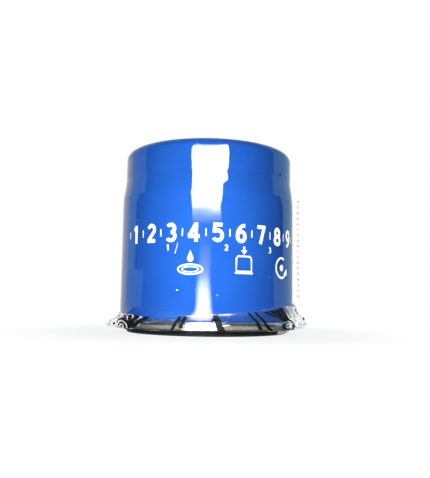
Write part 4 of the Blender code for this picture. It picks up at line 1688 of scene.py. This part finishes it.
@dataclass
class LeafSpring:
    """The four-legged spring between the element and the crown, built at rest; the real spring flattens as
    the element rises.
    """

    hole_radius: float = 7.0 * MM
    hub_radius: float = 13.5 * MM
    reach: float = 25.0 * MM
    leg_width: float = 10.0 * MM
    sheet: float = 0.5 * MM
    bottom: float = 63.91 * MM
    top: float = 69.51 * MM
    travel: float = 1.0 * MM
    legs: int = 4
    columns: int = 160
    rows: int = 14

    def rim(self, angle: float) -> float:
        """The outer radius at an angle: a leg's tip, its side, or the hub.

        Args:
            angle: The angle round the axis.

        Returns:
            The radius.
        """
        away = abs(math.remainder(angle, math.tau / self.legs))
        side = self.leg_width / 2 / max(math.sin(away), 0.01)
        return min(max(side, self.hub_radius), self.reach)

    def height(self, radius: float) -> float:
        """The height of the sheet's middle, flat on the hub and rising to the crown.

        Args:
            radius: The distance from the axis.

        Returns:
            The height.
        """
        share = clamp((radius - self.hub_radius) / (self.reach - self.hub_radius))
        low, high = self.bottom + self.sheet / 2, self.top - self.sheet / 2
        return low + (high - low) * (1 - math.cos(math.pi * share)) / 2

    def build(self, steel: bpy.types.Material) -> None:
        """Build and dress the spring.

        Args:
            steel: The spring's finish.
        """
        sections = []
        for i in range(self.columns):
            angle = math.tau * i / self.columns
            radii = spread(self.hole_radius, self.rim(angle), self.rows)
            sections.append((angle, sheet_section([(r, self.height(r)) for r in radii], self.sheet)))
        piece = ring_loft("crown_leaf_spring", sections)
        dress(piece, steel, Body.HOUSING, Slot.SPRING_STEEL, "leaf_spring")
        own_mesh(piece)


@dataclass
class ValveSpring:
    """The bypass valve's coil spring with closed ends, built at rest; the real spring shortens as the valve
    opens.
    """

    radius: float = 5.6 * MM
    wire: float = 0.9 * MM
    bottom: float = 51.21 * MM
    top: float = 59.51 * MM
    turns: int = 5
    end_pitch: float = 0.95 * MM
    travel: float = 3.5 * MM
    points_per_turn: int = 40
    sides: int = 12

    def rise(self, turn: float) -> float:
        """The height of the wire's middle, wound closely in the first and the last turn.

        Args:
            turn: How many turns from the lower end.

        Returns:
            The height.
        """
        open_pitch = (self.top - self.bottom - self.wire - 2 * self.end_pitch) / (self.turns - 2)
        closed = min(turn, 1.0) + max(turn - (self.turns - 1), 0.0)
        return self.bottom + self.wire / 2 + closed * self.end_pitch + (turn - closed) * open_pitch

    def ring(self, builder: bmesh.types.BMesh, turn: float) -> list[bmesh.types.BMVert]:
        """Add the wire's outline at one place.

        Args:
            builder: The mesh that takes the points.
            turn: How many turns from the lower end.

        Returns:
            The points round the wire.
        """
        angle = math.tau * turn
        points = []
        for k in range(self.sides):
            lean = math.tau * k / self.sides
            radius = self.radius + self.wire / 2 * math.cos(lean)
            height = self.rise(turn) + self.wire / 2 * math.sin(lean)
            points.append(builder.verts.new(polar(radius, angle, height)))
        return points

    def build(self, steel: bpy.types.Material) -> None:
        """Build and dress the spring.

        Args:
            steel: The spring's finish.
        """
        builder = bmesh.new()
        turns = spread(0.0, float(self.turns), self.turns * self.points_per_turn)
        rings = [self.ring(builder, turn) for turn in turns]
        stitch(builder, rings, looped=True)
        builder.faces.new(rings[0])
        builder.faces.new(rings[-1])
        bmesh.ops.recalc_face_normals(builder, faces=builder.faces)
        piece = link_mesh("valve_coil_spring", builder)
        dress(piece, steel, Body.ELEMENT, Slot.SPRING_STEEL, "bypass_spring")
        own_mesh(piece)


@dataclass
class InnerPieces:
    """The sealed pieces, which keep their solids and get their finishes."""

    finishes: dict[str, bpy.types.Material]

    def build(self) -> None:
        """Give each carried node its finish."""
        for name, finish in self.finishes.items():
            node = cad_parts[name]
            node.data.materials.clear()
            node.data.materials.append(finish)
            LOG.info("%s: dressed", name)


@dataclass(frozen=True)
class CardRow:
    """One level of a studio card: its elevation, its two ends and its brightness, seen from the can."""

    elevation: float
    left: float
    right: float
    glow: float
    boost: float = 0.0


@dataclass
class MirrorCard:
    """A card in front of the can that only shows mirrored in the gloss, as a photographer's cards do."""

    name: str
    distance: float
    floor_gap: float
    colour: Colour
    strength: float
    edge_fade: float = 0.0
    boost_inner: float = 38.0
    boost_outer: float = 72.0
    glow_limit: float = 4.0
    can_radius: float = 34.0 * MM
    eye_height: float = 13.0 * MM
    eye_distance: float = 197.0 * MM

    def brightness(self, row: CardRow, share: float) -> float:
        """The glow at a place on a row, which fades at the card's ends and is boosted near the middle.

        Args:
            row: The row.
            share: How far along the row, from 0 to 1.

        Returns:
            The glow.
        """
        fade = min(1.0, min(share, 1 - share) / self.edge_fade) if self.edge_fade else 1.0
        azimuth = abs(row.left + (row.right - row.left) * share)
        middle = (self.boost_outer - azimuth) / (self.boost_outer - self.boost_inner)
        return row.glow * fade + row.boost * clamp(middle)

    def spot(self, azimuth: float, elevation: float) -> Vector:
        """The place that mirrors at this azimuth and elevation, on the floor or upright behind it.

        Args:
            azimuth: Degrees round the can from the front.
            elevation: Degrees above the level.

        Returns:
            The place.
        """
        slope = math.tan(math.radians(elevation))
        away = self.distance
        height = self.eye_height + (self.eye_distance + away) * slope
        if height < self.floor_gap:
            away = (self.eye_height - self.floor_gap) / -slope - self.eye_distance
            height = self.floor_gap
        return polar(self.can_radius + away, FRONT + math.radians(azimuth), height)

    def build(self, rows: Sequence[CardRow], steps: int = 24) -> None:
        """Build the card.

        Args:
            rows: Its levels from the lowest up.
            steps: Faces across the card.
        """
        builder = bmesh.new()
        levels = []
        for row in rows:
            azimuths = spread(row.left, row.right, steps)
            levels.append([builder.verts.new(self.spot(a, row.elevation)) for a in azimuths])
        stitch(builder, list(zip(*levels)))
        card = link_mesh(self.name, builder, ALL_SMOOTH)
        glow = card.data.attributes.new("glow", "FLOAT", "POINT")
        for i, value in enumerate(glow.data):
            value.value = self.brightness(rows[i // (steps + 1)], i % (steps + 1) / steps)
        tree = ShaderTree(self.name)
        light = tree.nodes.new("ShaderNodeEmission")
        light.inputs["Color"].default_value = (*self.colour, 1.0)
        brightest = self.glow_limit * self.strength
        power = tree.between(tree.attribute("glow"), 0.0, brightest, 0.0, self.glow_limit)
        tree.join(power, light.inputs["Strength"])
        tree.surface(light.outputs["Emission"])
        card.data.materials.append(tree.material)
        card.visible_camera = False
        card.visible_diffuse = False
        card.visible_shadow = False
        card.visible_transmission = False


LOW_WINDOW = (
    CardRow(-3.4, -16.0, 8.0, 1.0),
    CardRow(-1.6, -15.6, 7.6, 1.0),
    CardRow(-0.7, -15.0, 7.0, 1.0),
    CardRow(0.7, -14.5, 6.0, 0.8),
    CardRow(1.4, -14.0, 5.0, 0.55),
    CardRow(2.1, -13.5, 4.5, 0.3),
    CardRow(3.0, -13.0, 5.0, 0.15),
    CardRow(4.1, -12.5, 6.0, 0.1),
    CardRow(5.5, -12.0, 6.0, 0.03),
    CardRow(6.5, -11.0, 5.0, 0.0),
)
HIGH_WINDOW = (
    CardRow(7.5, -19.0, 16.0, 0.0),
    CardRow(8.3, -20.0, 16.5, 0.17),
    CardRow(8.8, -20.0, 16.0, 0.45),
    CardRow(9.2, -20.5, 15.0, 1.0),
    CardRow(10.9, -22.0, 18.0, 1.0),
    CardRow(11.8, -22.0, 18.5, 1.0),
    CardRow(12.0, -22.0, 25.0, 1.0),
    CardRow(14.8, -23.0, 26.5, 1.0),
    CardRow(15.15, -22.3, 25.8, 1.0),
    CardRow(15.32, -20.0, 24.0, 1.0),
    CardRow(15.4, -20.0, 24.0, 0.0),
    CardRow(21.9, -21.5, 25.0, 0.0),
    CardRow(22.2, -22.0, 18.5, 1.0),
    CardRow(24.0, -22.0, 18.5, 1.0),
    CardRow(24.8, -22.5, 26.0, 1.0),
    CardRow(25.5, -22.5, 26.0, 1.0),
    CardRow(25.9, -22.0, 25.0, 0.0),
)
DARK_FOOT = (
    (-3.75, 0.3, 0.0),
    (-3.5, 0.4, 0.2),
    (-3.25, 0.6, 2.6),
    (-2.9, 0.7, 4.2),
    (-2.4, 0.7, 4.2),
    (-2.1, 0.8, 0.0),
    (-0.7, 0.6, 0.0),
    (0.5, 0.35, 0.0),
    (9.5, 0.35, 0.0),
)
DARK_CARD = (
    *(CardRow(level, -108.0, 116.0, glow, boost) for level, glow, boost in DARK_FOOT),
    *(CardRow(level, -94.0, 98.0, 0.35) for level in (11.5, 62.0, 84.0)),
)
SKY_LEVELS = (-1.0, 3.0, 12.0, 30.0, 62.0)


@dataclass(frozen=True)
class SoftLight:
    """A flat light: its name, its place, its width and height, and its power in watts."""

    name: str
    place: Place
    size: Point
    power: float


@dataclass
class Studio:
    """The camera, the white floor and backdrop, the soft lights and the cards."""

    camera_place: Place = (0.0, -230.25 * MM, 13.07 * MM)
    pitch: float = 0.1036
    yaw: float = 0.0127
    roll: float = 0.0152
    focal_pixels: float = 574.05
    image_height: int = 478
    ambient: float = 0.1
    floor_radius: float = 4.0
    fade_start: float = 0.045
    fade_end: float = 0.085
    floor_glow: float = 0.82
    floor_white: float = 0.9
    floor_bounce: float = 0.35
    fills: tuple[SoftLight, ...] = (
        SoftLight("front_fill", (-0.008, -0.11, 0.032), (0.04, 0.05), 0.075),
        SoftLight("back_fill", (0.0, 0.6, 0.2), (0.5, 0.4), 6.0),
    )
    lamps: tuple[SoftLight, ...] = (
        SoftLight("side_lamp_left", (-0.16, -0.14, 0.03), (0.08, 0.06), 0.36),
        SoftLight("side_lamp_right", (0.16, -0.14, 0.03), (0.08, 0.06), 0.36),
    )

    def camera(self) -> None:
        """Place the camera where the photograph was taken from."""
        data = bpy.data.cameras.new("camera")
        data.sensor_width = 36.0
        data.lens = self.focal_pixels * data.sensor_width / self.image_height
        data.clip_start = 0.005
        forward = Vector(
            (
                math.sin(self.yaw) * math.cos(self.pitch),
                math.cos(self.yaw) * math.cos(self.pitch),
                math.sin(self.pitch),
            )
        )
        right = forward.cross(Vector((0.0, 0.0, 1.0))).normalized()
        up = right.cross(forward)
        turned_right = math.cos(self.roll) * right + math.sin(self.roll) * up
        turned_up = -math.sin(self.roll) * right + math.cos(self.roll) * up
        rotation = Matrix((turned_right, turned_up, -forward)).transposed().to_4x4()
        camera = bpy.data.objects.new("camera", data)
        camera.matrix_world = Matrix.Translation(self.camera_place) @ rotation
        bpy.context.scene.collection.objects.link(camera)
        bpy.context.scene.camera = camera

    def seen_rays(self, nodes: bpy.types.Nodes, links: bpy.types.NodeLinks) -> bpy.types.NodeSocket:
        """A socket that is 1 for rays from the camera, mirrors and clear surfaces.

        Args:
            nodes: The node tree's nodes.
            links: The node tree's links.

        Returns:
            The socket.
        """
        path = nodes.new("ShaderNodeLightPath")
        largest = path.outputs["Is Camera Ray"]
        for name in ("Is Glossy Ray", "Is Transmission Ray"):
            node = nodes.new("ShaderNodeMath")
            node.operation = "MAXIMUM"
            links.new(largest, node.inputs[0])
            links.new(path.outputs[name], node.inputs[1])
            largest = node.outputs[0]
        return largest

    def backdrop(self) -> None:
        """Make the world a white backdrop that lights the object softly."""
        world = bpy.data.worlds.new("white_backdrop")
        world.use_nodes = True
        nodes, links = world.node_tree.nodes, world.node_tree.links
        background = nodes["Background"]
        background.inputs["Color"].default_value = (*WHITE, 1.0)
        strength = nodes.new("ShaderNodeMapRange")
        strength.inputs["To Min"].default_value = self.ambient
        strength.inputs["To Max"].default_value = 1.0
        links.new(self.seen_rays(nodes, links), strength.inputs["Value"])
        links.new(strength.outputs["Result"], background.inputs["Strength"])
        bpy.context.scene.world = world

    def floor(self) -> None:
        """A white floor that keeps the object's shadow and fades into the backdrop."""
        tree = ShaderTree("white_floor")
        matt = tree.add("ShaderNodeBsdfDiffuse", color=(*(self.floor_white,) * 3, 1.0))
        glow = tree.add("ShaderNodeEmission")
        length = tree.add("ShaderNodeVectorMath")
        length.operation = "LENGTH"
        tree.join(tree.position(), length.inputs[0])
        ends = {"from_min": self.fade_start, "from_max": self.fade_end}
        fade = tree.add("ShaderNodeMapRange", **ends, to_min=self.floor_glow, to_max=1.0)
        fade.interpolation_type = "SMOOTHSTEP"
        tree.join(length.outputs["Value"], fade.inputs["Value"])
        shown = tree.mix(fade.outputs["Result"], matt.outputs["BSDF"], glow.outputs["Emission"])
        bounce = tree.add("ShaderNodeBsdfDiffuse", color=(*(self.floor_bounce,) * 3, 1.0))
        seen = self.seen_rays(tree.nodes, tree.links)
        tree.surface(tree.mix(seen, bounce.outputs["BSDF"], shown))
        builder = bmesh.new()
        bmesh.ops.create_circle(builder, cap_ends=True, segments=64, radius=self.floor_radius)
        floor = link_mesh("floor", builder)
        floor.data.materials.append(tree.material)

    def area_light(self, light: SoftLight) -> bpy.types.Object:
        """A flat light that faces the middle of the object and doesn't show itself.

        Args:
            light: The light's place, size and power.

        Returns:
            The light.
        """
        data = bpy.data.lights.new(light.name, "AREA")
        data.shape = "RECTANGLE"
        data.size, data.size_y = light.size
        data.energy = light.power
        lamp = bpy.data.objects.new(light.name, data)
        lamp.location = light.place
        target = Vector((0.0, 0.0, 35.0 * MM))
        lamp.rotation_euler = (target - lamp.location).to_track_quat("-Z", "Y").to_euler()
        lamp.visible_glossy = False
        lamp.visible_camera = False
        bpy.context.scene.collection.objects.link(lamp)
        return lamp

    def side_lamps(self, pieces: Sequence[bpy.types.Object]) -> None:
        """Two soft lamps low at the sides, which light only the milky film and the white print.

        Args:
            pieces: The pieces that are lit.
        """
        lit = bpy.data.collections.new("side_lit")
        for piece in pieces:
            lit.objects.link(piece)
        for lamp in self.lamps:
            self.area_light(lamp).light_linking.receiver_collection = lit

    def cards(self) -> None:
        """Stand the cards that show mirrored in the gloss."""
        for name, inner, outer, colour in (
            ("left_sky", -90.0, -128.0, (0.45, 0.9, 1.45)),
            ("right_sky", 94.0, 150.0, (0.52, 0.9, 1.15)),
        ):
            rows = [CardRow(level, inner, outer, 1.0) for level in SKY_LEVELS]
            MirrorCard(name, 1.9, 0.002, colour, 1.0).build(rows)
        MirrorCard("dark_card", 1.7, 0.0005, (0.165, 0.17, 0.168), 1.0).build(DARK_CARD, 48)
        MirrorCard("high_window", 0.9, 0.001, WHITE, 40.0).build(HIGH_WINDOW)
        MirrorCard("low_window", 0.9, 0.001, WHITE, 40.0, edge_fade=0.3).build(LOW_WINDOW)

    def build(self, pale: Sequence[bpy.types.Object]) -> None:
        """Build the whole studio.

        Args:
            pale: The film and the white print, which get their own lamps.
        """
        self.side_lamps(pale)
        bpy.context.scene.view_settings.view_transform = "Standard"
        self.camera()
        self.backdrop()
        self.floor()
        for fill in self.fills:
            self.area_light(fill)
        self.cards()


def main() -> None:
    """Build the filter's sub-assemblies in order."""
    logging.basicConfig(level=logging.INFO, format="%(name)s %(message)s")
    black_rubber = MouldedRubber("black_rubber", (0.009, 0.009, 0.01), (0.022, 0.022, 0.022)).material()
    red_rubber = MouldedRubber("red_rubber", (0.34, 0.05, 0.03), (0.42, 0.12, 0.09)).material()
    plate_steel = RolledSteel(SteelGrade.PLATE).material()
    cap_steel = RolledSteel(SteelGrade.CAP).material()
    spring_steel = RolledSteel(SteelGrade.SPRING).material()
    adhesive = CuredAdhesive().material()
    clear_film = ClearFilm().material()
    black_ink = Ink("black_ink", (0.008, 0.008, 0.009), (0.02, 0.02, 0.021)).material()
    white_ink = Ink("white_ink", (0.9, 0.92, 0.94), (0.8, 0.84, 0.9)).material()
    rim_mark = Ink("perforation_rim", (0.54, 0.53, 0.46), (0.6, 0.59, 0.52)).material()

    CanShell().build(GlossPaint().material())
    RolledSeam().build(RolledSteel(SteelGrade.SEAM).material())
    BaseGasket().build(black_rubber)
    ThreadedBase().build(plate_steel)
    film = ShrinkFilm()
    wrap = film.build(clear_film)
    FilmPrint(film).build(black_ink)
    strip = TearStrip().build(clear_film, rim_mark)
    prints = CanPrint().build(white_ink)
    CanPrint(radius=33.03 * MM).chip(black_ink)
    LeafSpring().build(spring_steel)
    ValveSpring().build(spring_steel)
    InnerPieces(
        {
            "anti_drain_valve": red_rubber,
            "lower_end_cap": cap_steel,
            "upper_end_cap": cap_steel,
            "lower_potting": adhesive,
            "upper_potting": adhesive,
            "filter_media": PleatPaper().material(),
            "media_seam_clip": cap_steel,
            "centre_tube": cap_steel,
            "bypass_cage": cap_steel,
            "bypass_port": cap_steel,
            "bypass_disc": plate_steel,
            "bypass_seal": black_rubber,
        }
    ).build()
    Studio().build([wrap, *strip, *prints])


if __name__ == "__main__":
    main()
